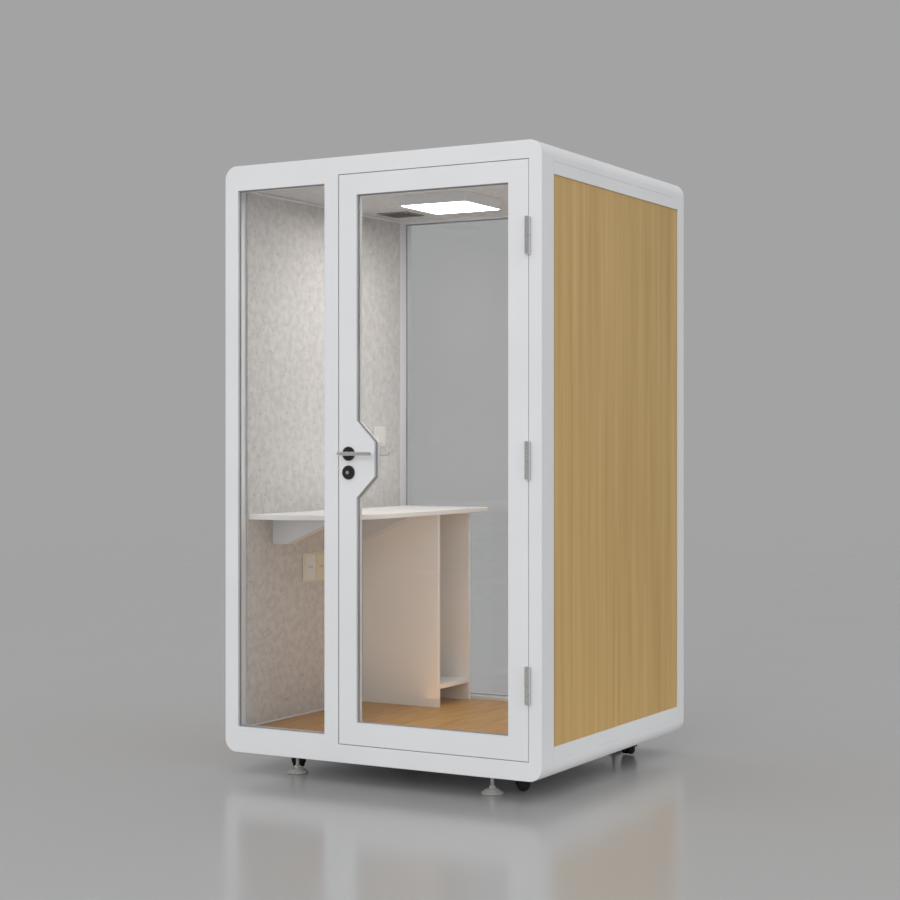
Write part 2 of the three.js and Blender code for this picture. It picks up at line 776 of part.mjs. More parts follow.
// Key cylinder outside, turn knob inside, and the two bolts that they and the lever move
function makeLock() {
  const roseFront = front - seatGap - roseThickness;
  const plugFront = roseFront - cylinderPlugProud;
  const rose = rodY(roseDiameter / 2, leverX, [roseFront, front - seatGap], cylinderZ);
  const plug = rodY(cylinderPlugDiameter / 2, leverX, [plugFront, boltY - boltThickness], cylinderZ);
  const keyHole = block(
    [leverX - keySlotWidth / 2, leverX + keySlotWidth / 2],
    [plugFront - overCut, plugFront + keySlotDepth],
    [cylinderZ - keySlotHeight / 2, cylinderZ + keySlotHeight / 2],
  );
  piece('key_cylinder', cut(join(rose, plug), keyHole), blackMetal());

  const plateY = [leafBack + seatGap, leafBack + seatGap + innerPlateThickness];
  const plateZ = [lockBlockHeight - innerPlateLength / 2, lockBlockHeight + innerPlateLength / 2];
  const plate = block([leverX - innerPlateWidth / 2, leverX + innerPlateWidth / 2], plateY, plateZ);
  const holeY = [plateY[0] - overCut, plateY[1] + overCut];
  const leverHole = rodY(leverNeckDiameter / 2 + seatGap, leverX, holeY, leverZ);
  const turnHole = rodY(turnNeckDiameter / 2 + seatGap, leverX, holeY, cylinderZ);
  piece('inner_lock_plate', cut(plate, leverHole, turnHole), brushedSteel());

  const knobY = [plateY[1] + seatGap, plateY[1] + seatGap + turnKnobHeight];
  const neck = rodY(turnNeckDiameter / 2, leverX, [leafBack, knobY[0] + overCut], cylinderZ);
  const knob = block(
    [leverX - turnKnobWidth / 2, leverX + turnKnobWidth / 2],
    knobY,
    [cylinderZ - turnKnobLength / 2, cylinderZ + turnKnobLength / 2],
  );
  piece('thumb_turn', join(neck, knob), brushedSteel());

  const boltSpanY = [boltY - boltThickness / 2, boltY + boltThickness / 2];
  const latchTip = leafLeft - latchThrow;
  const latchBottom = leverZ - latchHeight / 2;
  const bevel = new THREE.Shape(outline([
    [latchTip, boltSpanY[0]],
    [latchTip + latchLength, boltSpanY[0]],
    [latchTip + latchLength, boltSpanY[1]],
    [latchTip + latchThrow, boltSpanY[1]],
  ]));
  piece('latch_bolt', slabXY(bevel, [latchBottom, latchBottom + latchHeight]), brushedSteel());
  piece('dead_bolt', block(
    [leafLeft + seatGap, leafLeft + deadBoltLength],
    boltSpanY,
    [cylinderZ - deadBoltHeight / 2, cylinderZ + deadBoltHeight / 2],
  ), brushedSteel());
}

// Lift-off hinges: the lower knuckle carries the pin and the upper knuckle turns on it
function makeHinge(place, z) {
  const lowZ = [z - hingeLength / 2, z - knuckleGap / 2];
  const highZ = [z + knuckleGap / 2, z + hingeLength / 2];
  const plateY = [front, front + hingePlateWidth];
  const tabY = [hingeAxisY, front + overCut];
  const plateZ = [z - hingeLength / 2, z + hingeLength / 2];
  const nearX = hingePlateGap / 2;
  const farX = hingePlateGap / 2 + hingePlateThickness;
  const fixedX = [hingeAxisX + nearX, hingeAxisX + farX];
  const movingX = [hingeAxisX - farX, hingeAxisX - nearX];
  const pin = rodZ(hingePinRadius, hingeAxisX, hingeAxisY, [lowZ[0], z + hingePinLength]);
  const boreZ = [z - overCut, z + hingePinLength + seatGap];
  const pinBore = rodZ(hingePinRadius + seatGap, hingeAxisX, hingeAxisY, boreZ);
  piece(`${place}_hinge_frame_leaf`, join(
    rodZ(hingeBarrelRadius, hingeAxisX, hingeAxisY, lowZ),
    pin,
    block(fixedX, tabY, lowZ),
    block(fixedX, plateY, plateZ),
  ), brushedSteel());
  piece(`${place}_hinge_door_leaf`, cut(join(
    rodZ(hingeBarrelRadius, hingeAxisX, hingeAxisY, highZ),
    block(movingX, tabY, highZ),
    block(movingX, plateY, plateZ),
  ), pinBore), brushedSteel());
}

// Ceiling light: a tray with an opal diffuser on a ledge
function makeCeilingLight() {
  const top = ceilingBottom - seatGap;
  const bottom = top - ledHeight;
  const square = (margin, spanZ) => {
    const half = ledSide / 2 - margin;
    const radius = ledCornerRadius - margin;
    const spanX = [ledX - half, ledX + half];
    const spanY = [ledY - half, ledY + half];
    return slabXY(roundedRectangle(spanX, spanY, radius, radius), spanZ);
  };
  const diffuserZ = [bottom, bottom + ledDiffuserThickness];
  const seat = square(ledRim, [bottom - overCut, diffuserZ[1] + seatGap]);
  const cavity = square(ledRim + ledLedge, [bottom, top - ledBackThickness]);
  piece('led_housing', cut(square(0, [bottom, top]), seat, cavity), whiteCoat());
  piece('led_diffuser', square(ledRim + seatGap, diffuserZ), opalPanel());
}

// Ceiling fan: a square duct with a slotted face and a motor post, and a bladed rotor on the post
function makeFan() {
  const [x, y] = [fanX, fanY];
  const flangeTop = ceilingBottom - seatGap;
  const flangeBottom = flangeTop - fanFlangeThickness;
  const grilleTop = flangeBottom + fanGrilleThickness;
  const ductTop = ceilingBottom + fanBodyHeight;
  const half = fanFlangeSide / 2;
  const flange = block([x - half, x + half], [y - half, y + half], [flangeBottom, flangeTop]);
  const duct = block(...fanOpening(0), [flangeBottom, ductTop]);
  const bore = rodZ(fanBoreRadius, x, y, [grilleTop, ductTop + overCut]);
  const slots = [];
  for (let i = 0; i < fanGrilleSlots; i += 1) {
    const slotX = x + (i - (fanGrilleSlots - 1) / 2) * fanGrillePitch;
    const reach = Math.sqrt(fanBoreRadius ** 2 - (Math.abs(slotX - x) + fanGrilleSlotWidth) ** 2);
    slots.push(block(
      [slotX - fanGrilleSlotWidth / 2, slotX + fanGrilleSlotWidth / 2],
      [y - reach, y + reach],
      [flangeBottom - overCut, grilleTop + overCut],
    ));
  }
  const boss = rodZ(fanHubRadius, x, y, [flangeBottom, grilleTop]);
  const post = rodZ(fanPostRadius, x, y, [flangeBottom, grilleTop + fanPostLength]);
  piece('fan_duct', join(cut(join(flange, duct), bore, ...slots), boss, post), blackPlastic());

  const hubZ = [grilleTop + seatGap, grilleTop + fanPostLength + seatGap + fanHubCap];
  const bladeZ = (hubZ[0] + hubZ[1]) / 2;
  const blades = [];
  for (let i = 0; i < fanBlades; i += 1) {
    const length = fanBladeTipRadius - fanHubRadius + fanBladeRoot;
    const geometry = new THREE.BoxGeometry(length, fanBladeChord, fanBladeThickness);
    geometry.rotateX(fanBladeAngle);
    geometry.translate(fanBladeTipRadius - length / 2, 0, 0);
    geometry.rotateZ((i / fanBlades) * 2 * Math.PI);
    geometry.translate(x, y, bladeZ);
    blades.push(solid(geometry));
  }
  const hub = rodZ(fanHubRadius, x, y, hubZ);
  const hubBore = rodZ(fanPostRadius + seatGap, x, y, [hubZ[0] - overCut, hubZ[1] - fanHubCap]);
  piece('fan_rotor', cut(join(hub, ...blades), hubBore), blackPlastic());
}

// Desk: a top along the left wall with a swept front corner, on two brackets and a cabinet
function makeDesk() {
  const wallX = -feltFaceX + seatGap;
  const edgeX = wallX + deskReach;
  const plan = new THREE.Shape();
  plan.moveTo(wallX, deskFrontY);
  plan.absellipse(wallX, deskFrontY + deskSweep, deskReach, deskSweep, -Math.PI / 2, 0);
  plan.lineTo(edgeX, deskRearY);
  plan.lineTo(wallX, deskRearY);
  piece('desk_top', slabXY(plan, [deskUnderside, deskHeight], 2 * arcSteps), whiteLaminate());

  const top = deskUnderside - seatGap;
  const gusset = new THREE.Shape(outline([
    [wallX, top],
    [wallX, top - bracketDrop],
    [wallX + bracketFlat, top - bracketDrop],
    [wallX + bracketReach, top],
  ]));
  const frontBracketY = deskFrontY + frontBracketInset;
  const cabinetY = deskRearY - cabinetRearGap - cabinetDepth;
  const rearBracketY = cabinetY - seatGap - bracketThickness;
  piece('front_desk_bracket', slabXZ(gusset, [frontBracketY, frontBracketY + bracketThickness]), whiteCoat());
  piece('rear_desk_bracket', slabXZ(gusset, [rearBracketY, rearBracketY + bracketThickness]), whiteCoat());

  const cabinetX = [wallX, wallX + cabinetReach];
  const cabinetZ = [floorTop + seatGap, top];
  const shelfTop = floorTop + shelfAboveFloor;
  const rearPanelY = cabinetY + cabinetDepth - cabinetPanel;
  piece('cabinet_carcass', join(
    block(cabinetX, [cabinetY, cabinetY + cabinetPanel], cabinetZ),
    block(cabinetX, [rearPanelY, rearPanelY + cabinetPanel], cabinetZ),
    block(cabinetX, [cabinetY + overCut, rearPanelY + overCut], [shelfTop - cabinetPanel, shelfTop]),
  ), whiteLaminate());
}

// Wall plates: a rocker switch above the desk and a double socket below it
function makeWallPlates() {
  const wallX = -feltFaceX + seatGap;
  const plateX = [wallX, wallX + plateThickness];
  const switchY = deskRearY - switchFromRear;
  const switchZ = deskHeight + switchAboveDesk;
  const socketY = deskFrontY + socketFromFront;
  const socketZ = deskHeight - socketBelowDesk;
  const upright = (spanX, width, height, y, z) => block(
    spanX, [y - width / 2, y + width / 2], [z - height / 2, z + height / 2]);
  const opening = upright(
    [plateX[0] - overCut, plateX[1] + overCut],
    rockerWidth + 2 * rockerClearance,
    rockerHeight + 2 * rockerClearance,
    switchY,
    switchZ,
  );
  const switchPlate = upright(plateX, switchSide, switchSide, switchY, switchZ);
  piece('switch_plate', cut(switchPlate, opening), whitePlastic());

  const rocker = new THREE.Group();
  rocker.position.set(plateX[1] + rockerProud - rockerThickness / 2, switchY, switchZ);
  rocker.rotation.y = THREE.MathUtils.degToRad(-rockerTilt);
  pod.add(rocker);
  const rockerX = [-rockerThickness / 2, rockerThickness / 2];
  piece('switch_rocker', upright(rockerX, rockerWidth, rockerHeight, 0, 0), whitePlastic(), rocker);

  const slots = [];
  for (const gang of [-0.5, 0.5]) {
    for (const offset of [-socketSlotSpread, 0, socketSlotSpread]) {
      const y = socketY + gang * socketGangPitch + offset;
      const slotX = [plateX[1] - socketSlotDepth, plateX[1] + overCut];
      slots.push(upright(slotX, socketSlotWidth, socketSlotHeight, y, socketZ));
    }
  }
  const socketPlate = upright(plateX, socketWidth, socketHeight, socketY, socketZ);
  piece('socket_plate', cut(socketPlate, ...slots), whitePlastic());
}

// Levelling feet: a dished pad, a hexagon and a stem that screws into the base
function makeFoot(place, [x, y]) {
  const nutTop = footConeHeight + footNutHeight;
  const foot = new THREE.Group();
  foot.position.set(x, y, 0);
  pod.add(foot);
  const pad = turnedZ([
    [0, 0],
    [footPadRadius, 0],
    [footPadRadius, footRimHeight],
    [footNutRadius, footConeHeight],
    [0, footConeHeight],
  ]);
  const nut = rodZ(footNutRadius, 0, 0, [footConeHeight - overCut, nutTop], nutSides);
  const stem = rodZ(footStemRadius, 0, 0, [footConeHeight - overCut, bodyLift + footStemEngagement]);
  piece(`${place}_levelling_foot`, join(pad, nut, stem), zincSteel(), foot);
}

// Castors: a stemmed fork that swivels in the base, and a wheel on its axle pin
function makeCastor(place, [x, y, swivel]) {
  const cheekInner = castorWheelWidth / 2 + castorCheekGap;
  const cheekOuter = cheekInner + castorCheek;
  const crownZ = [castorCrownZ, castorCrownZ + castorCrownHeight];
  const castor = new THREE.Group();
  castor.position.set(x, y, 0);
  castor.rotation.z = THREE.MathUtils.degToRad(swivel);
  pod.add(castor);

  const cheek = new THREE.Shape();
  cheek.moveTo(castorCrownRadius / 2, crownZ[0] + overCut);
  cheek.lineTo(-castorCrownRadius / 2, crownZ[0] + overCut);
  cheek.absarc(-castorTrail, castorAxleZ, castorCheekRadius, Math.PI, Math.PI * 2);
  piece(`${place}_castor_fork`, join(
    rodZ(castorCrownRadius, 0, 0, crownZ),
    rodZ(castorStemRadius, 0, 0, [crownZ[0], bodyLift + castorStemLength]),
    slabYZ(cheek, [-cheekOuter, -cheekInner]),
    slabYZ(cheek, [cheekInner, cheekOuter]),
    rodX(castorAxleRadius, [-cheekInner - overCut, cheekInner + overCut], -castorTrail, castorAxleZ),
  ), blackPlastic(), castor);

  const wheel = new THREE.Group();
  wheel.position.set(0, -castorTrail, castorAxleZ);
  wheel.rotation.y = Math.PI / 2;
  castor.add(wheel);
  const half = castorWheelWidth / 2;
  const shoulder = castorWheelRadius - castorWheelEdge;
  const bore = castorAxleRadius + seatGap;
  piece(`${place}_castor_wheel`, turnedZ([
    [bore, -half],
    [shoulder, -half],
    [castorWheelRadius, castorWheelEdge - half],
    [castorWheelRadius, half - castorWheelEdge],
    [shoulder, half],
    [bore, half],
    [bore, -half],
  ]), blackRubber(), wheel);
}

makeBase();
makeFrontFrame();
makeRearFrame();
makeRoof();
makeSideWall('left', -1);
makeSideWall('right', 1);
makeGlazing('fixed_glass', 'fixed_glass_gasket', fixedLight(), front + gasketSetBack);
makeGlazing('rear_glass', 'rear_glass_gasket', rectangle(...rearLight()), rearGasketFront);
makeCeilingLight();
makeFan();
makeDesk();
makeWallPlates();
makeDoorLeaf();
makeLever();
makeLock();
for (const [place, z] of Object.entries(hingeHeights())) {
  makeHinge(place, z);
}
for (const [place, spot] of Object.entries(footPlaces)) {
  makeFoot(place, spot);
}
for (const [place, spot] of Object.entries(castorPlaces)) {
  makeCastor(place, spot);
}

const part = new THREE.Group();
part.add(pod);

export default part;
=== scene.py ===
"""Acoustic office pod: frames, glazing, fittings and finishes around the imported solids, in a studio."""

import json
import math

import bmesh
import bpy
import numpy as np
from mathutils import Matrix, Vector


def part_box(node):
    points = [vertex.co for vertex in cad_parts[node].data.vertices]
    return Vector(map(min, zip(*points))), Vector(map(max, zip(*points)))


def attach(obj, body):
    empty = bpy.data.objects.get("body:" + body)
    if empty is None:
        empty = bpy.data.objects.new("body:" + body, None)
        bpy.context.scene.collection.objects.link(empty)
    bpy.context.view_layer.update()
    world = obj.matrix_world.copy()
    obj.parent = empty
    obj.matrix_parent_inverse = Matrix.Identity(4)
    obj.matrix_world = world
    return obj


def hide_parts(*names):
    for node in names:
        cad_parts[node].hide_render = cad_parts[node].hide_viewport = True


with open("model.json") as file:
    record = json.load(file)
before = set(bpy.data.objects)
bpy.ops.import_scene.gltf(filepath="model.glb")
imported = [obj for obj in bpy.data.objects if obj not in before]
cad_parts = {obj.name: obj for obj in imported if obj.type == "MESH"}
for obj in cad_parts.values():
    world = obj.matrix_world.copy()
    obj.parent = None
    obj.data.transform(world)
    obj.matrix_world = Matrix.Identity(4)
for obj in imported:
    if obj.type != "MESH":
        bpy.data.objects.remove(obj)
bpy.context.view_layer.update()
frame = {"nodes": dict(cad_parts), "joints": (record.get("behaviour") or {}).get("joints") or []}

bl_info = {
    "name": "Acoustic office pod",
    "version": (1, 0, 0),
    "blender": (4, 5, 0),
    "location": "3D View > Sidebar > Pod",
    "description": "Builds the visible surfaces and finishes of a glazed booth for one person",
    "category": "Add Mesh",
}

MM = 0.001
CORNER_STEPS = 12
EDGE_STEPS = 3
ARC_STEPS = 24
TURN_SIDES = 40
SCREW_SIDES = 20
THREAD_SIDES = 24
HAIR = 0.15 * MM  # rounding of an edge that lies in a flush joint
PIN = 1.0 * MM  # radius of a corner that looks square
SHARP_ANGLE = math.radians(32)  # a fold sharper than this shows as an edge
CORNERS = ("front_left", "front_right", "rear_left", "rear_right")
BOLTS = ("latch_bolt", "dead_bolt")


# Sizes and colours that a user may change

def linear(code):
    """An sRGB hex colour as linear red, green and blue."""
    value = np.array([int(code[i:i + 2], 16) for i in (0, 2, 4)]) / 255
    return tuple(np.where(value <= 0.04045, value / 12.92, ((value + 0.055) / 1.055) ** 2.4).tolist())


def length(name, millimetres, description):
    """A size in the panel, given in millimetres."""
    return bpy.props.FloatProperty(
        name=name, description=description, default=millimetres * MM, min=0.0, precision=4, unit="LENGTH")


def colour(name, code, description):
    """A colour in the panel, given as sRGB hex."""
    return bpy.props.FloatVectorProperty(
        name=name, description=description, default=linear(code), size=3, min=0.0, max=1.0, subtype="COLOR")


class PodSizes(bpy.types.PropertyGroup):
    """Sizes of the visible surfaces"""

    corner_radius: length("Corner radius", 50, "Outer corners of the frames, the roof and the base")
    edge_round: length("Edge rounding", 2.5, "Rounding along the edges of coated metal")
    seat_gap: length("Seat gap", 0.3, "Clearance between two fitted pieces")
    shadow_gap: length("Shadow gap", 1.5, "Dark joint between the felt and the white strips")
    door_seam: length("Door seam", 2, "Gap above and below the door leaf and at its hinges")
    lock_seam: length("Lock seam", 3, "Gap at the lock, where the leaf's rear edge needs room to swing")
    rebate_depth: length("Door rebate depth", 45, "How deep the door leaf and its seal sit in the frame")
    rail_depth: length("Front rail depth", 55, "Depth of the front rails, mullion and sill")
    stop_lap: length("Door stop lap", 12, "How far the stop laps behind the door leaf")
    pocket_depth: length("Bolt pocket depth", 14.5, "How deep the bolts' pockets go into the mullion")
    pocket_room: length("Bolt pocket room", 1.5, "Clearance round a bolt in the mullion")
    bore_room: length("Bolt bore room", 0.5, "Clearance round a bolt in the door leaf")
    rear_round: length("Rear edge rounding", 4, "Rounding of the rear frame's outer edges")
    veneer_lap: length("Veneer lap", 45, "How far the veneered panel laps over the rear frame")
    veneer_seat: length("Veneer seat", 19.3, "Depth of the seat for the veneered panel")
    gasket_width: length("Gasket width", 3.6, "Width of the rubber that shows round the glass")
    gasket_lip: length("Gasket lip", 1.2, "How far the rubber stands off each face of the glass")
    gasket_round: length("Gasket rounding", 1.0, "Rounding of the rubber's lips")
    lock_height: length("Lock block height", 1194, "Height of the middle of the lock block")
    lock_reach: length("Lock block reach", 77, "How far the lock block reaches over the glass")
    lock_straight: length("Lock block straight", 125, "Straight part of the lock block's free edge")
    lock_length: length("Lock block length", 281, "Length of the lock block along the stile")
    desk_sweep: length("Desk sweep", 285, "Depth of the curved front corner of the desk")
    desk_round: length("Desk edge rounding", 3, "Rounding of the desk edges")
    bracket_flat: length("Bracket flat", 62, "Level part of a bracket's lower edge")
    panel: length("Cabinet panel", 18, "Thickness of the cabinet boards")
    shelf_rise: length("Shelf rise", 93, "Height of the shelf above the cabin floor")
    screw_radius: length("Screw radius", 4, "Radius of a screw head")
    screw_inset: length("Screw inset", 12, "From the end of a lock plate to its screw")
    thread_pitch: length("Thread pitch", 4, "Pitch of the levelling screw, drawn coarse so that it shows")


class PodColours(bpy.types.PropertyGroup):
    """Colours of the finishes"""

    coat: colour("Coat", "DBDCDE", "White powder coat on the frames")
    oak: colour("Oak", "CAA96C", "Light wood of the veneer")
    oak_dark: colour("Oak grain", "AD884D", "Dark streaks of the veneer")
    felt: colour("Felt", "C8C5C3", "Light fibres of the felt")
    felt_dark: colour("Felt flecks", "9B9692", "Dark fibres of the felt")
    wool: colour("Wool", "A8945A", "Light fibres of the mineral wool")
    wool_dark: colour("Wool tangle", "7C6A3C", "Dark fibres of the mineral wool")
    floor: colour("Cabin floor", "D09C4C", "Light print of the cabin floor")
    floor_dark: colour("Cabin floor grain", "A3732F", "Dark print of the cabin floor")
    laminate: colour("Laminate", "F0EDE9", "White laminate on the desk and cabinet")
    glass: colour("Glass", "FCFDFD", "Faint tint of the panes")
    rubber: colour("Rubber", "9A9B9D", "Glazing rubber and door seal")
    steel: colour("Steel", "F2F1EE", "Satin stainless steel")
    zinc: colour("Zinc", "ECEAE6", "Zinc plate on the feet")
    lacquer: colour("Lacquer", "0F0F11", "Black lacquer on the door fittings")
    nylon: colour("Nylon", "1C1D20", "Black nylon of the castors")
    grille: colour("Grille", "7A7067", "Moulded fan grille")
    plastic: colour("Plastic", "DAD7D2", "White moulded switch")
    socket: colour("Socket", "D9D1B9", "Stone-coloured socket plate")
    insert: colour("Socket insert", "D5D9D8", "Grey insert of the socket plate")
    opal: colour("Opal", "FFFDFA", "Lit diffuser")
    backdrop: colour("Backdrop", "A3A3A3", "Plain studio floor and wall")


def sizes():
    """The sizes that the scene holds."""
    return bpy.context.scene.pod_sizes


def colours():
    """The colours that the scene holds."""
    return bpy.context.scene.pod_colours


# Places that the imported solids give

def grown(pair, amount):
    """Limits moved apart by an amount at each end."""
    return (pair[0] - amount, pair[1] + amount)


def about(middle, half):
    """Limits at half a width on both sides of a middle."""
    return (middle - half, middle + half)


def extent(node, amount=0.0):
    """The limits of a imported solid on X, Y and Z, widened all round by an amount."""
    low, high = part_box(node)
    return [grown(pair, amount) for pair in zip(low, high)]


def joint(name, key="pos_m"):
    """The place of a joint, or its axis."""
    found = next(entry for entry in frame["joints"] if entry["name"] == name)
    return np.array(found[key])


# Outlines in a plane, anticlockwise

def rectangle(u, v):
    """The four corners of limits on two axes."""
    return np.array([[u[0], v[0]], [u[1], v[0]], [u[1], v[1]], [u[0], v[1]]], float)


def rounded_rectangle(u, v, radii, steps=CORNER_STEPS):
    """Each corner is its centre plus the radius times the cosine and sine of a quarter turn."""
    radii = np.broadcast_to(radii, 4).astype(float)[:, None]
    inwards = np.array([[1, 1], [-1, 1], [-1, -1], [1, -1]])
    centres = rectangle(u, v) + inwards * radii
    angles = np.radians([180, 270, 0, 90])[:, None] + np.linspace(0, math.pi / 2, steps + 1)
    turn = np.stack([np.cos(angles), np.sin(angles)], axis=-1)
    return (centres[:, None] + radii[:, None] * turn).reshape(-1, 2)


def circle(centre, radius, sides=TURN_SIDES):
    """The centre plus the radius times the cosine and sine of even steps round a turn."""
    angles = np.arange(sides) * 2 * math.pi / sides
    return np.asarray(centre) + radius * np.stack([np.cos(angles), np.sin(angles)], axis=-1)


def arc(centre, radius, start, end):
    """The centre plus the radius times the cosine and sine of even steps between two angles in degrees."""
    angles = np.radians(np.linspace(start, end, ARC_STEPS))
    return centre + radius * np.stack([np.cos(angles), np.sin(angles)], axis=1)


def inward(path, closed=True):
    """The sum of the inward normals of the two edges at a point, over one plus their dot product."""
    ahead = np.roll(path, -1, axis=0) - path
    if not closed:
        ahead[-1] = ahead[-2]
    ahead = ahead / np.linalg.norm(ahead, axis=1, keepdims=True)
    behind = np.roll(ahead, 1, axis=0)
    if not closed:
        behind[0] = ahead[0]
    into = np.stack([-behind[:, 1], behind[:, 0]], axis=1)
    away = np.stack([-ahead[:, 1], ahead[:, 0]], axis=1)
    return (into + away) / (1 + np.sum(into * away, axis=1, keepdims=True))


def inset(path, distance):
    """Each point moved along its inward normal."""
    return path + inward(path) * distance


# Closed shells as grids of points: rows are closed rings, carried along a path

AXES = {"XY": (0, 1, 2), "XZ": (0, 2, 1), "YZ": (1, 2, 0)}
ACROSS = {"X": "YZ", "Y": "XZ", "Z": "XY"}


def spatial(plane, flat, depth):
    """Puts flat points on the two axes of a plane, and the depth on the third."""
    first, second, third = AXES[plane]
    points = np.empty(flat.shape[:-1] + (3,))
    points[..., first] = flat[..., 0]
    points[..., second] = flat[..., 1]
    points[..., third] = depth
    return points


def woven(points, closed=False):
    """Quads between neighbouring rings; an open path gets a flat cap at each end."""
    rows, ring = points.shape[:2]
    index = np.arange(rows * ring).reshape(rows, ring)
    near = index if closed else index[:-1]
    far = np.roll(index, -1, axis=0) if closed else index[1:]
    corners = [near, np.roll(near, -1, axis=1), np.roll(far, -1, axis=1), far]
    faces = np.stack(corners, axis=-1).reshape(-1, 4).tolist()
    if not closed:
        faces += [index[0, ::-1].tolist(), index[-1].tolist()]
    return points.reshape(-1, 3), faces


def band(outer, inner, span, plane, rounds, closed=True):
    """A frame between two outlines with as many points each.

    Its section goes round four corners: outer near, inner near, inner far, outer far. In each the line
    moves in by the radius times one minus the cosine, and in depth by the radius times one minus the sine.
    """
    quarter = np.linspace(0, math.pi / 2, EDGE_STEPS + 1)
    from_outer = inward(outer, closed)
    from_inner = -inward(inner, closed)
    corners = (
        (outer, from_outer, span[0], 1, quarter),
        (inner, from_inner, span[0], 1, quarter[::-1]),
        (inner, from_inner, span[1], -1, quarter),
        (outer, from_outer, span[1], -1, quarter[::-1]),
    )
    section = []
    for (line, normal, level, sign, angles), radius in zip(corners, rounds):
        radius = np.broadcast_to(radius, len(outer))[:, None]
        across = radius * (1 - np.cos(angles))
        flat = line[:, None] + normal[:, None] * across[..., None]
        section.append(spatial(plane, flat, level + sign * radius * (1 - np.sin(angles))))
    return woven(np.concatenate(section, axis=1), closed)


def slab(outline, span, plane, rounding):
    """A plate whose outline draws in at both faces by the rounding times one minus a quarter turn's cosine."""
    quarter = np.linspace(0, math.pi / 2, EDGE_STEPS + 1)
    angles = np.concatenate([quarter[::-1], quarter])
    drop = rounding * (1 - np.sin(angles))
    near = np.arange(len(angles)) <= EDGE_STEPS
    depth = np.where(near, span[0] + drop, span[1] - drop)
    across = rounding * (1 - np.cos(angles))
    flat = outline + inward(outline) * across[:, None, None]
    return woven(spatial(plane, flat, depth[:, None]))


def plate(limits, plane, rounding, corner=None):
    """A slab that fills limits on X, Y and Z, with square or rounded corners in its plane."""
    first, second, third = AXES[plane]
    if corner is None:
        outline = rectangle(limits[first], limits[second])
    else:
        outline = rounded_rectangle(limits[first], limits[second], corner)
    return slab(outline, limits[third], plane, rounding)


def turned(profile, centre, axis, sides=TURN_SIDES):
    """A profile of radius and height: radius times cosine and sine across the axis, height along it."""
    radius, height = np.asarray(profile, float).T
    flat = radius[:, None, None] * circle((0, 0), 1, sides)
    return woven(spatial(ACROSS[axis], flat, height[:, None]) + np.asarray(centre))


def mirrored(profile):
    """A profile in millimetres, followed by its mirror image across zero height."""
    half = np.array(profile) * MM
    return np.concatenate([half, half[::-1] * (1, -1)])


def moved(shell, rotation, centre):
    """A shell turned by a rotation matrix about the origin, then set at a place."""
    points, faces = shell
    return points @ rotation.T + np.asarray(centre), faces


def turn_about(axis, angle):
    """The rotation matrix for an angle about X, Y or Z."""
    cosine, sine = math.cos(angle), math.sin(angle)
    first, second = {"X": (1, 2), "Y": (2, 0), "Z": (0, 1)}[axis]
    matrix = np.eye(3)
    matrix[first, first] = matrix[second, second] = cosine
    matrix[first, second] = -sine
    matrix[second, first] = sine
    return matrix


def louvre(x, y, height, count, slat, rounding, tilt):
    """Slats of a width and thickness along Y, at even steps between limits on X, each tilted on its middle."""
    middle = sum(y) / 2
    width, thickness = slat
    limits = [about(0, width / 2), (y[0] - middle, y[1] - middle), about(0, thickness / 2)]
    level = plate(limits, "XY", rounding)
    rotation = turn_about("Y", math.radians(tilt))
    return [moved(level, rotation, (step, middle, height)) for step in np.linspace(*x, count + 2)[1:-1]]


def screws(places, axis, outward):
    """Screw heads with a rounded rim and a recess, on faces that look along plus or minus one axis."""
    radius = sizes().screw_radius
    height = 0.45 * radius
    recess = 0.45
    profile = np.array([
        (1, 0), (1, 0.4), (0.86, 0.85), (0.6, 1), (recess, 1), (recess, 0.3), (0.02, 0.3),
    ]) * (radius, outward * height)
    return [turned(profile, place, axis, SCREW_SIDES) for place in places]


# Meshes and objects

def joined(name, shells):
    """One mesh of closed shells, with all faces outwards."""
    points = []
    faces = []
    count = 0
    for shell_points, shell_faces in shells:
        points.append(shell_points)
        faces += [[corner + count for corner in face] for face in shell_faces]
        count += len(shell_points)
    mesh = bpy.data.meshes.new(name)
    mesh.from_pydata(np.concatenate(points).tolist(), [], faces)
    work = bmesh.new()
    work.from_mesh(mesh)
    bmesh.ops.recalc_face_normals(work, faces=work.faces)
    work.to_mesh(mesh)
    work.free()
    return mesh


def bored(mesh, bores):
    """The mesh of a piece with closed shells cut out of it."""
    scene = bpy.context.scene
    blank = bpy.data.objects.new("blank", mesh)
    tool = bpy.data.objects.new("tool", joined("tool", bores))
    scene.collection.objects.link(blank)
    scene.collection.objects.link(tool)
    bore = blank.modifiers.new("bore", "BOOLEAN")
    bore.operation = "DIFFERENCE"
    bore.object = tool
    cut = bpy.data.meshes.new_from_object(blank.evaluated_get(bpy.context.evaluated_depsgraph_get()))
    for spent in (blank, tool):
        bpy.data.objects.remove(spent)
    return cut


def piece(name, body, finish, shells, replaces=(), bores=()):
    """One object of closed shells, less its bores, that moves with a body and takes a record slot."""
    mesh = joined(name, shells)
    if bores:
        mesh = bored(mesh, bores)
    mesh.polygons.foreach_set("use_smooth", np.ones(len(mesh.polygons), bool))
    mesh.set_sharp_from_angle(angle=SHARP_ANGLE)
    mesh.materials.clear()
    mesh.materials.append(bpy.data.materials[finish])
    made = bpy.data.objects.new(name, mesh)
    bpy.context.scene.collection.objects.link(made)
    flat = made.modifiers.new("flat_faces", "WEIGHTED_NORMAL")
    flat.keep_sharp = True
    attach(made, body)
    if replaces:
        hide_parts(*replaces)
    return made


def dress(finish, *nodes):
    """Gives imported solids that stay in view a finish."""
    for node in nodes:
        frame["nodes"][node].material_slots[0].material = bpy.data.materials[finish]


# Finishes

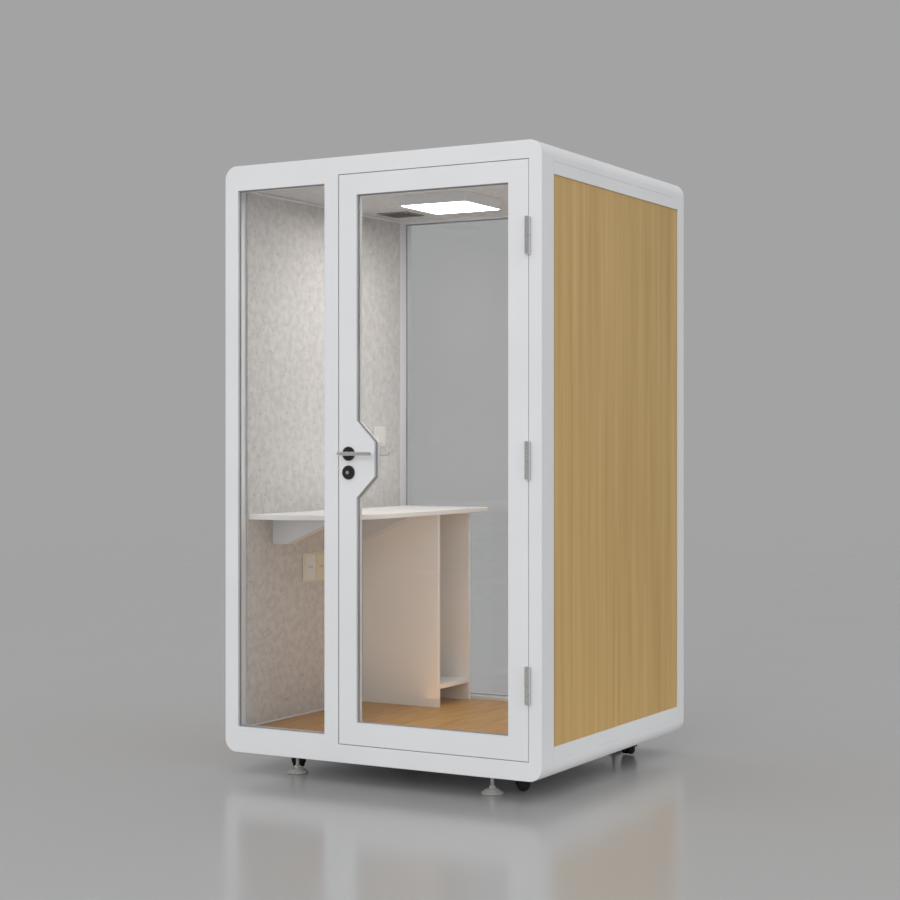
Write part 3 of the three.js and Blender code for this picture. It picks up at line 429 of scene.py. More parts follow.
COAT = "polyester_powder_coat_sprayed"
LAMINATE = "melamine_laminate_pressed"
WHITE_ABS = "abs_white_moulded"
STONE_ABS = "abs_stone_moulded"
PALE_ABS = "abs_pale_grey_moulded"
GREY_ABS = "abs_grey_moulded"
NYLON = "nylon_black_moulded"
LACQUER = "lacquered_steel_polished"
RUBBER = "epdm_rubber_extruded"
TYRE = "polyurethane_tyre_moulded"
OAK = "oak_veneer_sliced"
FELT = "polyester_felt_needled"
WOOL = "mineral_wool_pressed"
PLANKS = "vinyl_plank_printed"
GLASS = "float_glass_laminated"
STEEL = "stainless_steel_brushed"
ZINC = "zinc_plated_steel_turned"
OPAL = "opal_acrylic_cast"
STUDIO_PAINT = "painted_studio_floor"
LED_STRENGTH = 31.0

MIX = "ShaderNodeMix"
RANGE = "ShaderNodeMapRange"
BUMP = "ShaderNodeBump"
FACTOR, FIRST, SECOND = 0, 6, 7  # inputs of a node that mixes colours


def fill(tree, node, inputs):
    """Fills each input with a value, or with a link from a socket or from a node's first output in use."""
    for name, value in inputs.items():
        if isinstance(value, bpy.types.Node):
            value = next(output for output in value.outputs if output.enabled)
        if isinstance(value, bpy.types.NodeSocket):
            tree.links.new(value, node.inputs[name])
        else:
            node.inputs[name].default_value = value


def add(tree, kind, inputs=None, **settings):
    """Adds a node, sets its properties and fills its inputs."""
    made = tree.nodes.new(kind)
    for name, value in settings.items():
        setattr(made, name, value)
    fill(tree, made, inputs or {})
    return made


def opaque(value, share=1.0):
    """A colour times a share, with full cover."""
    return tuple(min(1.0, channel * share) for channel in value) + (1.0,)


def start_finish(name):
    """A new material with its shader, and the piece's own coordinates."""
    made = bpy.data.materials.new(name)
    made.use_nodes = True
    tree = made.node_tree
    tree.nodes.clear()
    shader = add(tree, "ShaderNodeBsdfPrincipled")
    add(tree, "ShaderNodeOutputMaterial", {"Surface": shader})
    place = add(tree, "ShaderNodeTexCoord").outputs["Object"]
    return tree, shader, place


def grain(tree, place, size, shares=(1, 1, 1), detail=3.0, span=(0.3, 0.7)):
    """Noise from 0 to 1 with features of a size in millimetres, drawn out where an axis has a small share."""
    spot = add(tree, "ShaderNodeMapping", {"Vector": place, "Scale": shares})
    noise = add(tree, "ShaderNodeTexNoise", {"Vector": spot, "Scale": 1 / (size * MM), "Detail": detail})
    return add(tree, RANGE, {"Value": noise, "From Min": span[0], "From Max": span[1]})


def layered(tree, base, *layers):
    """The base colour, with each layer's shade mixed in by its pattern times its strength."""
    made = base
    for pattern, strength, shade in layers:
        share = add(tree, RANGE, {"Value": pattern, "To Max": strength}) if strength < 1 else pattern
        made = add(tree, MIX, {FACTOR: share, FIRST: made, SECOND: shade}, data_type="RGBA")
    return made


def even_finish(name, base, tone, rough, peel, clear_layer=0.0):
    """One colour with a 260 mm drift of tone, 45 mm patches of gloss and a peel of a size in millimetres."""
    tree, shader, place = start_finish(name)
    drift = grain(tree, place, 260, detail=2.0)
    skin = grain(tree, place, peel, detail=2.0)
    gloss = grain(tree, place, 45)
    fill(tree, shader, {
        "Base Color": layered(tree, opaque(base, tone), (drift, 1.0, opaque(base))),
        "Roughness": add(tree, RANGE, {"Value": gloss, "To Min": rough[0], "To Max": rough[1]}),
        "Normal": add(tree, BUMP, {"Height": skin, "Strength": 0.12, "Distance": 0.12 * MM}),
        "Coat Weight": clear_layer,
    })


def make_even_finishes(tint):
    """Finishes of one even colour."""
    # Polyester powder, sprayed and baked: a satin white; its 1 mm peel is drawn at 6 mm so that it shows
    even_finish(COAT, tint.coat, 0.965, (0.36, 0.48), 6)

    # Melamine paper pressed on board: flat and a little warmer, with a fine pressed grain
    even_finish(LAMINATE, tint.laminate, 0.95, (0.4, 0.55), 4)

    # ABS and nylon, moulded in a spark-eroded tool: soft gloss; the fine grain is drawn at 3 mm to show
    even_finish(WHITE_ABS, tint.plastic, 0.97, (0.28, 0.38), 3)
    even_finish(STONE_ABS, tint.socket, 0.97, (0.28, 0.38), 3)
    even_finish(PALE_ABS, tint.insert, 0.97, (0.28, 0.38), 3)
    # The grey also paints the shade of the socket's holes; the black also paints the shade in the outlets and
    # the keyway
    even_finish(GREY_ABS, tint.grille, 0.8, (0.45, 0.6), 3)
    even_finish(NYLON, tint.nylon, 0.7, (0.38, 0.55), 3)

    # Lacquered steel, turned and polished: deep black with sharp lights from its clear top layer
    even_finish(LACQUER, tint.lacquer, 0.8, (0.12, 0.2), 8, clear_layer=0.3)

    # EPDM rubber, extruded, and polyurethane, moulded: dull, with faint run marks
    even_finish(RUBBER, tint.rubber, 0.75, (0.6, 0.8), 4)
    even_finish(TYRE, tint.nylon, 0.85, (0.55, 0.75), 4)


def make_oak(tint):
    """Oak veneer, sliced with upright grain: 250 mm leaves, 45 mm growth bands and fine long streaks."""
    tree, shader, place = start_finish(OAK)
    leaf = grain(tree, place, 250, (1, 1, 0.05), 1.0)
    bands = grain(tree, place, 45, (1, 1, 0.03), 3.0)
    streaks = grain(tree, place, 9, (1, 1, 0.015), 4.0, (0.35, 0.75))
    fill(tree, shader, {
        "Base Color": layered(
            tree, opaque(tint.oak),
            (bands, 0.7, opaque(tint.oak_dark)),
            (leaf, 0.3, opaque(tint.oak, 1.05)),
            (streaks, 0.3, opaque(tint.oak_dark, 0.85)),
        ),
        "Roughness": add(tree, RANGE, {"Value": streaks, "To Min": 0.42, "To Max": 0.58}),
        "Normal": add(tree, BUMP, {"Height": streaks, "Strength": 0.2, "Distance": 0.12 * MM}),
    })


def make_felt(tint):
    """Polyester felt, needled: 30 mm clouds of tone, sparse dark flecks of fibre and a soft sheen."""
    tree, shader, place = start_finish(FELT)
    clouds = grain(tree, place, 30, detail=5.0, span=(0.36, 0.64))
    flecks = grain(tree, place, 12, detail=5.0, span=(0.6, 0.72))
    fibres = grain(tree, place, 4, detail=4.0)
    fill(tree, shader, {
        "Base Color": layered(
            tree, opaque(tint.felt),
            (clouds, 0.36, opaque(tint.felt_dark)),
            (flecks, 0.6, opaque(tint.felt_dark, 0.7)),
        ),
        "Roughness": add(tree, RANGE, {"Value": fibres, "To Min": 0.88, "To Max": 1.0}),
        "Normal": add(tree, BUMP, {"Height": fibres, "Strength": 0.5, "Distance": 0.6 * MM}),
        "Sheen Weight": 0.25,
    })


def make_wool(tint):
    """Mineral wool, pressed into board: yellow-brown tangled fibre."""
    tree, shader, place = start_finish(WOOL)
    tangle = grain(tree, place, 6, (1, 1, 0.3), 5.0)
    fill(tree, shader, {
        "Base Color": layered(tree, opaque(tint.wool), (tangle, 1.0, opaque(tint.wool_dark))),
        "Roughness": add(tree, RANGE, {"Value": tangle, "To Min": 0.9, "To Max": 1.0}),
        "Normal": add(tree, BUMP, {"Height": tangle, "Strength": 0.8, "Distance": 1.5 * MM}),
    })


def make_planks(tint):
    """Vinyl planks, printed with wood: 140 mm planks along the cabin, thin dark joints, long grain."""
    tree, shader, place = start_finish(PLANKS)
    along = add(tree, "ShaderNodeMapping", {"Vector": place, "Rotation": (0, 0, math.pi / 2)})
    planks = add(tree, "ShaderNodeTexBrick", {
        "Vector": along, "Scale": 1.0,
        "Brick Width": 920 * MM, "Row Height": 140 * MM, "Mortar Size": 1.2 * MM,
        "Color1": opaque(tint.floor), "Color2": opaque(tint.floor, 0.86),
        "Mortar": opaque(tint.floor_dark, 0.45),
    })
    wood = grain(tree, place, 9, (1, 0.05, 1), 4.0)
    fill(tree, shader, {
        "Base Color": layered(tree, planks.outputs["Color"], (wood, 0.55, opaque(tint.floor_dark))),
        "Roughness": add(tree, RANGE, {"Value": wood, "To Min": 0.38, "To Max": 0.5}),
        "Normal": add(tree, BUMP, {"Height": planks.outputs["Fac"], "Strength": 0.3, "Distance": -0.4 * MM}),
    })


def make_glass(tint):
    """Float glass, laminated: clear, with the slight roller wave of drawn sheet."""
    tree, shader, place = start_finish(GLASS)
    wave = grain(tree, place, 400, detail=0.0)
    fill(tree, shader, {
        "Base Color": opaque(tint.glass),
        "Roughness": 0.0,
        "IOR": 1.5,
        "Transmission Weight": 1.0,
        "Normal": add(tree, BUMP, {"Height": wave, "Strength": 0.02, "Distance": 0.2 * MM}),
    })


def make_steel(tint):
    """Stainless steel, brushed along its length: soft streaks in the gloss."""
    tree, shader, place = start_finish(STEEL)
    brush = grain(tree, place, 2.5, (0.05, 1, 1), 3.0)
    fill(tree, shader, {
        "Base Color": layered(tree, opaque(tint.steel), (brush, 1.0, opaque(tint.steel, 0.86))),
        "Metallic": 1.0,
        "Roughness": add(tree, RANGE, {"Value": brush, "To Min": 0.24, "To Max": 0.38}),
        "Normal": add(tree, BUMP, {"Height": brush, "Strength": 0.1, "Distance": 0.05 * MM}),
    })


def make_zinc(tint):
    """Steel, turned and zinc plated: grey with a cloudy crystal bloom."""
    tree, shader, place = start_finish(ZINC)
    bloom = grain(tree, place, 9, detail=5.0)
    fill(tree, shader, {
        "Base Color": layered(tree, opaque(tint.zinc), (bloom, 1.0, opaque(tint.zinc, 0.75))),
        "Metallic": 0.6,
        "Roughness": add(tree, RANGE, {"Value": bloom, "To Min": 0.45, "To Max": 0.6}),
        "Normal": add(tree, BUMP, {"Height": bloom, "Strength": 0.15, "Distance": 0.1 * MM}),
    })


def make_opal(tint):
    """Opal acrylic, cast, lit from its edges: even white light."""
    tree, shader, place = start_finish(OPAL)
    haze = grain(tree, place, 30)
    fill(tree, shader, {
        "Base Color": layered(tree, opaque(tint.opal, 0.93), (haze, 1.0, opaque(tint.opal))),
        "Roughness": add(tree, RANGE, {"Value": haze, "To Min": 0.45, "To Max": 0.55}),
        "Emission Color": opaque(tint.opal),
        "Emission Strength": LED_STRENGTH,
    })


FINISH_MAKERS = (
    make_even_finishes, make_oak, make_felt, make_wool, make_planks, make_glass, make_steel, make_zinc,
    make_opal,
)


class POD_OT_finishes(bpy.types.Operator):
    """Make the finishes of all pieces"""

    bl_idname = "pod.finishes"
    bl_label = "Finishes"

    def execute(self, context):
        for make in FINISH_MAKERS:
            make(colours())
        return {"FINISHED"}


# Front frame

def doorway_limits():
    """The limits of the door leaf with its seams."""
    s = sizes()
    x, y, z = extent("door_leaf", s.door_seam)
    lock_x, _, _ = extent("door_leaf", s.lock_seam)
    return (lock_x[0], x[1]), y, z


def bolt_bores(span, room):
    """Square bores along X for the latch and the dead bolt."""
    bores = []
    for bolt in BOLTS:
        _, y, z = extent(bolt, room)
        bores.append(plate([span, y, z], "YZ", HAIR))
    return bores


class POD_OT_front_frame(bpy.types.Operator):
    """Make the front frame: a ring round the side light and the doorway, mullion, door stop and rear rim"""

    bl_idname = "pod.front_frame"
    bl_label = "Front frame"

    def execute(self, context):
        s = sizes()
        x, y, z = extent("front_frame")
        door_x, _, door_z = doorway_limits()
        light_x, _, light_z = extent("fixed_glass_gasket", s.seat_gap)
        _, _, roof_z = extent("roof_shell")
        _, _, base_z = extent("base_chassis")
        felt_x, _, _ = extent("left_felt_panel")
        rail = (y[0], y[0] + s.rail_depth)
        ring = self.ring(x, z, light_x, light_z, door_x, door_z, rail)
        mullion = slab(rectangle((light_x[1], door_x[0]), light_z), rail, "XZ", HAIR)
        stop_outline = rectangle(door_x, door_z)
        stop = band(
            stop_outline, inset(stop_outline, s.stop_lap),
            (y[0] + s.rebate_depth, rail[1]), "XZ", (HAIR, PIN, PIN, HAIR),
        )
        inner_x = (felt_x[0] - s.seat_gap, s.seat_gap - felt_x[0])
        rim = band(
            rounded_rectangle(x, z, s.corner_radius),
            rounded_rectangle(inner_x, (base_z[1], roof_z[0] - s.seat_gap), PIN),
            (rail[1], y[1]), "XZ", (HAIR, HAIR, PIN, PIN),
        )
        piece("front_frame_coated", "shell", COAT, [ring, stop, rim], ["front_frame"])
        pockets = bolt_bores((door_x[0] - s.pocket_depth, door_x[0] + PIN), s.pocket_room)
        piece("mullion_coated", "shell", COAT, [mullion], bores=pockets)
        self.strike_plates(door_x[0])
        return {"FINISHED"}

    def ring(self, x, z, light_x, light_z, door_x, door_z, rail):
        """The inner outline steps from the side light's height to the doorway's beside the mullion."""
        corner = CORNER_STEPS + 1
        step = door_x[0]
        mullion = (light_x[1], light_x[1] + PIN, step - 3 * PIN, step + 3 * PIN, step + 6 * PIN)
        inner_x = (light_x[1], light_x[1] + PIN, step, step, step + 2 * PIN)
        outline = rounded_rectangle(x, z, sizes().corner_radius)
        side_light = rounded_rectangle((light_x[0], door_x[0]), light_z, PIN)
        doorway = rounded_rectangle((door_x[0], door_x[1]), door_z, PIN)
        low = (light_z[0], light_z[0], light_z[0], door_z[0], door_z[0])
        high = (light_z[1], light_z[1], light_z[1], door_z[1], door_z[1])
        outer = np.concatenate([
            outline[:corner], [[u, z[0]] for u in mullion],
            outline[corner:3 * corner], [[u, z[1]] for u in mullion[::-1]], outline[3 * corner:],
        ])
        inner = np.concatenate([
            side_light[:corner], list(zip(inner_x, low)),
            doorway[corner:3 * corner], list(zip(inner_x, high))[::-1], side_light[3 * corner:],
        ])
        at_mullion = (PIN, HAIR, HAIR, HAIR, PIN)
        edge = np.concatenate([
            np.full(corner, PIN), at_mullion,
            np.full(2 * corner, PIN), at_mullion[::-1], np.full(corner, PIN),
        ])
        return band(outer, inner, rail, "XZ", (sizes().edge_round, edge, PIN, HAIR))

    def strike_plates(self, door_left):
        """Steel plates with a hole each, let into the mullion where the two bolts go in."""
        side_margin = 7 * MM
        end_margin = 12 * MM
        span = (door_left - PIN, door_left + 0.6 * MM)
        shells = []
        for bolt in BOLTS:
            _, y, z = extent(bolt, sizes().pocket_room)
            edge = rectangle(grown(y, side_margin), grown(z, end_margin))
            shells.append(band(edge, rectangle(y, z), span, "YZ", (HAIR, HAIR, HAIR, HAIR)))
        piece("strike_plates", "shell", STEEL, shells)


# Rear frame

class POD_OT_rear_frame(bpy.types.Operator):
    """Make the rear frame: a ring with soft rear edges, and a notched ring that the veneered panels lap"""

    bl_idname = "pod.rear_frame"
    bl_label = "Rear frame"

    def execute(self, context):
        s = sizes()
        x, y, z = extent("rear_frame")
        light_x, _, light_z = extent("rear_glass_gasket", s.seat_gap)
        _, _, veneer_z = extent("right_veneer_panel", s.seat_gap)
        lap_end = y[0] + s.veneer_lap
        outer = rounded_rectangle(x, z, s.corner_radius)
        inner = rounded_rectangle(light_x, light_z, PIN)
        ring = band(outer, inner, (lap_end, y[1]), "XZ", (HAIR, HAIR, s.edge_round, s.rear_round))
        depth = s.veneer_seat
        notch_x = ((x[1], x[1] - depth, x[1] - depth, x[1]), (x[0], x[0] + depth, x[0] + depth, x[0]))
        notch_z = (veneer_z[0], veneer_z[0], veneer_z[1], veneer_z[1])
        step_z = (veneer_z[0] - PIN, veneer_z[0], veneer_z[1], veneer_z[1] + PIN)
        lapped = band(
            self.with_sides(outer, notch_x, notch_z),
            self.with_sides(inner, [light_x[1:] * 4, light_x[:1] * 4], step_z),
            (y[0], lap_end), "XZ", (HAIR, PIN, HAIR, HAIR),
        )
        piece("rear_frame_coated", "shell", COAT, [ring, lapped], ["rear_frame"])
        return {"FINISHED"}

    def with_sides(self, outline, across, heights):
        """A rounded outline with four more points up its right side, and four down its left side."""
        half = 2 * (CORNER_STEPS + 1)
        right = list(zip(across[0], heights))
        left = list(zip(across[1], heights[::-1]))
        return np.concatenate([outline[:half], right, outline[half:], left])


# Roof and base

class POD_OT_roof_and_base(bpy.types.Operator):
    """Make the roof with its air outlet, and the base with its fixing plates"""

    bl_idname = "pod.roof_and_base"
    bl_label = "Roof and base"

    def execute(self, context):
        s = sizes()
        seam = (s.edge_round, s.edge_round)
        rolled = (s.corner_radius, s.corner_radius)
        x, y, z = extent("roof_shell")
        roof = slab(rounded_rectangle(x, z, seam + rolled), y, "XZ", HAIR)
        piece("roof_coated", "shell", COAT, [roof], ["roof_shell"])
        self.air_outlet(z[1])
        x, y, z = extent("base_chassis")
        base = slab(rounded_rectangle(x, z, rolled + seam), y, "XZ", HAIR)
        piece("base_coated", "shell", COAT, [base], ["base_chassis"])
        self.fixing_plates(z[0])
        dress(WOOL, "roof_wool", "left_wool_core", "right_wool_core")
        dress(PLANKS, "floor_panel")
        dress(FELT, "ceiling_panel")
        return {"FINISHED"}

    def air_outlet(self, top):
        """A louvred cover over the fan's outlet: a rim, slanted slats, and a thin black sheet under them that
        paints the shade of an opening.
        """
        fan = joint("fan_spin")
        outer = [about(fan[i], 75 * MM) for i in (0, 1)]
        opening = [about(fan[i], 60 * MM) for i in (0, 1)]
        inner = rounded_rectangle(*opening, 4 * MM)
        rim = band(
            rounded_rectangle(*outer, 10 * MM), inner, (top, top + 5 * MM), "XY", (HAIR, HAIR, PIN, 2 * MM))
        # Painted shade: a thin black sheet on the solid roof stands for the dark opening under the slats
        painted_shade = slab(inner, (top, top + 0.5 * MM), "XY", HAIR)
        slats = louvre(*opening, top + 2.6 * MM, 7, (12 * MM, 1.2 * MM), 0.4 * MM, 16)
        piece("air_outlet_rim", "shell", COAT, [rim, *slats])
        piece("air_outlet_well", "shell", NYLON, [painted_shade])

    def fixing_plates(self, bottom):
        """Steel plates with four screws each, round every foot and castor under the base."""
        half_widths = {"foot_turn": 24 * MM, "castor_swivel": 34 * MM}
        screw_inset = 7 * MM
        plates = []
        heads = []
        for corner in CORNERS:
            for motion, half in half_widths.items():
                place = joint(f"{corner}_{motion}")
                limits = [about(place[i], half) for i in (0, 1)]
                plates.append(plate([*limits, about(bottom, PIN)], "XY", 0.4 * MM, 6 * MM))
                spots = rectangle(*[grown(pair, -screw_inset) for pair in limits])
                heads += screws([(u, v, bottom - PIN) for u, v in spots], "Z", -1)
        piece("fixing_plates", "shell", ZINC, plates + heads)


# Side walls

class POD_OT_side_walls(bpy.types.Operator):
    """Finish the side walls and make the white strips that close the felt at the floor and the ceiling"""

    bl_idname = "pod.side_walls"
    bl_label = "Side walls"

    def execute(self, context):
        _, _, floor_z = extent("floor_panel")
        _, _, ceiling_z = extent("ceiling_panel")
        proud = 2 * MM
        strips = []
        for side in ("left", "right"):
            dress(COAT, f"{side}_wall_frame")
            dress(OAK, f"{side}_veneer_panel")
            dress(FELT, f"{side}_felt_panel")
            x, y, z = extent(f"{side}_felt_panel")
            strip_x = (x[0], x[1] + proud) if side == "left" else (x[0] - proud, x[1])
            for gap in ((floor_z[1], z[0]), (z[1], ceiling_z[0])):
                strips.append(plate([strip_x, y, grown(gap, -sizes().shadow_gap)], "XZ", PIN, 2 * MM))
        piece("wall_strips", "shell", COAT, strips)
        return {"FINISHED"}


# Door leaf and glazing

def door_outlines():
    """The door leaf's outer outline and its light, point for point; the light goes round the lock block."""
    s = sizes()
    x, _, z = extent("door_leaf")
    light_x, _, light_z = extent("door_glass_gasket", s.seat_gap)
    block_x = light_x[0] + s.lock_reach
    heights = [
        s.lock_height + s.lock_length / 2,
        s.lock_height + s.lock_straight / 2,
        s.lock_height - s.lock_straight / 2,
        s.lock_height - s.lock_length / 2,
    ]
    reach = [light_x[0], block_x, block_x, light_x[0]]
    outer = np.concatenate([rectangle(x, z), [[x[0], height] for height in heights]])
    inner = np.concatenate([rectangle(light_x, light_z), list(zip(reach, heights))])
    return outer, inner


class POD_OT_door(bpy.types.Operator):
    """Make the door leaf with its lock block, and the steel face of the lock on its edge"""

    bl_idname = "pod.door"
    bl_label = "Door leaf"

    def execute(self, context):
        s = sizes()
        x, y, _ = extent("door_leaf")
        bolt_x, _, _ = extent("dead_bolt")
        outer, inner = door_outlines()
        soft = s.edge_round
        leaf = band(outer, inner, y, "XZ", (soft, PIN, PIN, soft))
        bores = bolt_bores((x[0] - 2 * PIN, bolt_x[1] + 2 * PIN), s.bore_room)
        piece("door_leaf_coated", "door", COAT, [leaf], ["door_leaf"], bores)
        front = x[0] - 0.5 * MM
        middle = sum(y) / 2
        face_z = about(s.lock_height, 120 * MM)
        face = plate([(front, x[0] + PIN), about(middle, 11 * MM), face_z], "YZ", 0.3 * MM, 3 * MM)
        ends = [(front, middle, height) for height in grown(face_z, -s.screw_inset)]
        piece("lock_face", "door", STEEL, [face], bores=bores)
        piece("lock_face_screws", "door", STEEL, screws(ends, "X", -1))
        dress(RUBBER, "door_seal")
        dress(STEEL, *BOLTS)
        return {"FINISHED"}


class POD_OT_glazing(bpy.types.Operator):
    """Finish the panes and make the rubber gaskets with rounded lips round them"""

    bl_idname = "pod.glazing"
    bl_label = "Glazing"

    def execute(self, context):
        s = sizes()
        lights = {
            "fixed_glass": ("shell", rectangle(*extent("fixed_glass_gasket", s.seat_gap)[::2])),
            "rear_glass": ("shell", rectangle(*extent("rear_glass_gasket", s.seat_gap)[::2])),
            "door_glass": ("door", door_outlines()[1]),
        }
        dress(GLASS, *lights)
        for pane, (body, light) in lights.items():
            _, y, _ = extent(pane, s.gasket_lip)
            lips = (s.gasket_round,) * 4
            rubber = band(inset(light, s.seat_gap), inset(light, s.gasket_width), y, "XZ", lips)
            piece(f"{pane}_gasket_lips", body, RUBBER, [rubber], [f"{pane}_gasket"])
        return {"FINISHED"}


# Door fittings

class POD_OT_lever_set(bpy.types.Operator):
    """Make the levers, the roses, the key cylinder, the inner plate and the turn knob"""

    bl_idname = "pod.lever_set"
    bl_label = "Lever set"

    def execute(self, context):
        pivot = joint("lever_turn")
        for node, outward in (("outer_lever", -1), ("inner_lever", 1)):
            self.lever(node, pivot, outward)
        self.roses(pivot)
        self.inner_plate()
        self.turn_knob()
        return {"FINISHED"}

    def lever(self, node, pivot, outward):
        """A round bar on a neck that swells into it.

        The bar's ends are domes: the radius times the sine of a quarter turn, and 0.6 of it times the cosine.
        """
        x, y, _ = extent(node)
        door_y = extent("door_leaf")[1]
        radius = 7 * MM
        tip = 0.6 * radius
        quarter = np.linspace(0.08, math.pi / 2, 6)
        cap = np.stack([radius * np.sin(quarter), tip * np.cos(quarter)], axis=1)
        bar = np.concatenate([
            cap * (1, -1) + (0, x[0] + tip),
            cap[::-1] + (0, x[1] - tip),
        ])
        bar_y = y[0] + radius if outward < 0 else y[1] - radius
        face = door_y[0] if outward < 0 else door_y[1]
        neck = np.array([
            (9, 0), (9, 0.25), (8, 0.3), (6.6, 0.45), (6.2, 0.62), (6.4, 0.78), (6.8, 0.9), (6.8, 1.0),
        ]) * (MM, bar_y - face)
        shells = [
            turned(bar, (0, bar_y, pivot[2]), "X"),
            turned(neck, (pivot[0], face, pivot[2]), "Y"),
        ]
        piece(f"{node}_bar", "lever", STEEL, shells, [node])

    def roses(self, pivot):
        """Domed black covers; the lower one holds a steel plug, with a thin black plate on it that paints the
        shade of the keyway.
        """
        face = extent("door_leaf")[1][0]
        turn = joint("thumb_turn_turn")
        upper = (pivot[0], face, pivot[2])
        lower = (turn[0], face, turn[2])
        outwards = (MM, -MM)
        cover = np.array([
            (26, 0), (26, 4), (25.5, 6), (24, 7.8), (21.5, 8.8), (18, 9.2), (13, 9.3), (9.6, 9.3), (9.6, 0),
        ]) * outwards
        dome = np.array([
            (26, 0), (26, 4), (25.5, 6.4), (24, 8.6), (21.5, 10), (18, 10.8), (13, 11.2), (7, 11.3), (7, 8),
            (0.2, 8),
        ]) * outwards
        plug = np.array([(6.6, 7), (6.6, 11.6), (6.1, 12.3), (4.8, 12.4), (0.2, 12.4)]) * outwards
        # Painted shade: a thin black plate on the plug's face stands for the shaded keyway
        slot = plate(
            [about(turn[0], 0.9 * MM), (face - 12.7 * MM, face - 9 * MM), about(turn[2], 4.2 * MM)],
            "XZ", HAIR)
        piece("outer_rose_cover", "door", LACQUER, [turned(cover, upper, "Y")], ["outer_rose"])
        cylinder = turned(dome, lower, "Y")
        piece("key_cylinder_cover", "door", LACQUER, [cylinder], ["key_cylinder"])
        piece("key_plug", "door", STEEL, [turned(plug, lower, "Y")])
        piece("key_slot", "door", NYLON, [slot])

    def inner_plate(self):
        """A plate with soft edges and a screw near each end."""
        x, y, z = extent("inner_lock_plate")
        cover = plate([x, y, z], "XZ", 2.5 * MM, 8 * MM)
        spots = [(sum(x) / 2, y[1], height) for height in grown(z, -sizes().screw_inset)]
        heads = screws(spots, "Y", 1)
        piece("inner_lock_cover", "door", STEEL, [cover, *heads], ["inner_lock_plate"])

    def turn_knob(self):
        """A flat grip with round ends on a turned collar."""
        _, y, z = extent("thumb_turn")
        turn = joint("thumb_turn_turn")
        base = extent("inner_lock_plate")[1][1]
        grip = plate([about(turn[0], 5 * MM), (base + 2 * MM, y[1]), z], "XZ", 2 * MM, 4.9 * MM)
        collar = np.array([(11, 0), (11, 1), (9.5, 2.6), (0.2, 2.6)]) * MM
        ring = turned(collar, (turn[0], base, turn[2]), "Y")
        piece("turn_knob", "turn", STEEL, [grip, ring], ["thumb_turn"])


class POD_OT_hinges(bpy.types.Operator):
    """Make the lift-off hinges: turned knuckles, leaves with round corners, and screws"""

    bl_idname = "pod.hinges"
    bl_label = "Hinges"

    def execute(self, context):
        for place in ("lower", "middle", "upper"):
            self.leaf(f"{place}_hinge_frame_leaf", "shell", 1)
            self.leaf(f"{place}_hinge_door_leaf", "door", -1)
        return {"FINISHED"}

    def leaf(self, node, body, side):
        """The frame's knuckle is the lower one and carries the pin; the door's is the upper one."""
        axis = joint("door_swing")
        front = extent("door_leaf")[1][0]
        _, y, z = extent(node)
        middle = sum(extent(node.replace("frame", "door"))[2]) / 2
        gap = 0.3 * MM
        thickness = 3 * MM
        end, meeting = (z[0], middle - gap) if side > 0 else (z[1], middle + gap)
        from_end = np.array([
            (0.3, 0), (6, 0), (8.6, 1), (9.7, 2.4), (10, 4), (10, 9), (9.3, 9.6), (9.3, 10.6), (10, 11.2),
        ]) * (MM, side * MM) + (0, end)
        from_meeting = np.array([(10, 1), (9.3, 0), (0.3, 0)]) * (MM, -side * MM) + (0, meeting)
        barrel = turned(np.concatenate([from_end, from_meeting]), (axis[0], axis[1], 0), "Z")
        inner_x = axis[0] + side * gap
        leaf_x = sorted((inner_x, inner_x + side * thickness))
        wing = plate([leaf_x, (front, y[1]), z], "YZ", 0.4 * MM, 4 * MM)
        tab = plate([leaf_x, (axis[1], front + 2 * MM), sorted((end, meeting))], "YZ", 0.4 * MM)
        countersunk = np.array([(4.5, 0), (4.5, 0.1), (2, 0.55), (0.1, 0.55)]) * (MM, -side * MM)
        sunk_x = inner_x + side * 0.5 * MM
        spots = [(sunk_x, front + 20 * MM, middle + offset * MM) for offset in (-48, 0, 48)]
        heads = [turned(countersunk, spot, "X", SCREW_SIDES) for spot in spots]
        piece(f"{node}_steel", body, STEEL, [barrel, wing, tab, *heads], [node])


# Ceiling light and fan

class POD_OT_ceiling(bpy.types.Operator):
    """Make the light's tray and the fan's louvred face, and light the diffuser"""

    bl_idname = "pod.ceiling"
    bl_label = "Ceiling light and fan"

    def execute(self, context):
        self.light()
        self.fan()
        return {"FINISHED"}

    def light(self):
        """A tray with a thin rim and round corners."""
        x, y, z = extent("led_housing")
        rim = 5 * MM
        radius = 18 * MM
        outer = rounded_rectangle(x, y, radius)
        inner = rounded_rectangle(grown(x, -rim), grown(y, -rim), radius - rim)
        tray = band(outer, inner, z, "XY", (2 * MM, PIN, HAIR, HAIR))
        piece("light_tray", "shell", COAT, [tray], ["led_housing"])
        dress(OPAL, "led_diffuser")

    def fan(self):
        """A rim with slanted slats in front of a thin black sheet that paints the shade inside the duct, and a
        screw at each corner.
        """
        x, y, z = extent("fan_duct")
        rim_width = 12 * MM
        painted_shade_depth = 8 * MM
        opening = [grown(pair, -rim_width) for pair in (x, y)]
        inner = rounded_rectangle(*opening, 3 * MM)
        rim = band(
            rounded_rectangle(x, y, 6 * MM), inner, (z[0], z[0] + 4 * MM), "XY", (1.5 * MM, PIN, HAIR, HAIR))
        # Painted shade: a thin black sheet behind the slats stands for the shaded inside of the duct
        painted_shade = slab(inner, (z[0] + painted_shade_depth, z[0] + painted_shade_depth + PIN), "XY", HAIR)
        slats = louvre(*opening, z[0] + 3.2 * MM, 12, (9 * MM, 1 * MM), 0.3 * MM, 38)
        spots = rectangle(*[grown(pair, -rim_width / 2) for pair in (x, y)])
        heads = screws([(u, v, z[0]) for u, v in spots], "Z", -1)
        piece("fan_louvre", "shell", GREY_ABS, [rim, *slats], ["fan_duct"])
        piece("fan_well", "shell", NYLON, [painted_shade])
        piece("fan_screws", "shell", STEEL, heads)
        dress(NYLON, "fan_rotor")


# Desk and cabinet

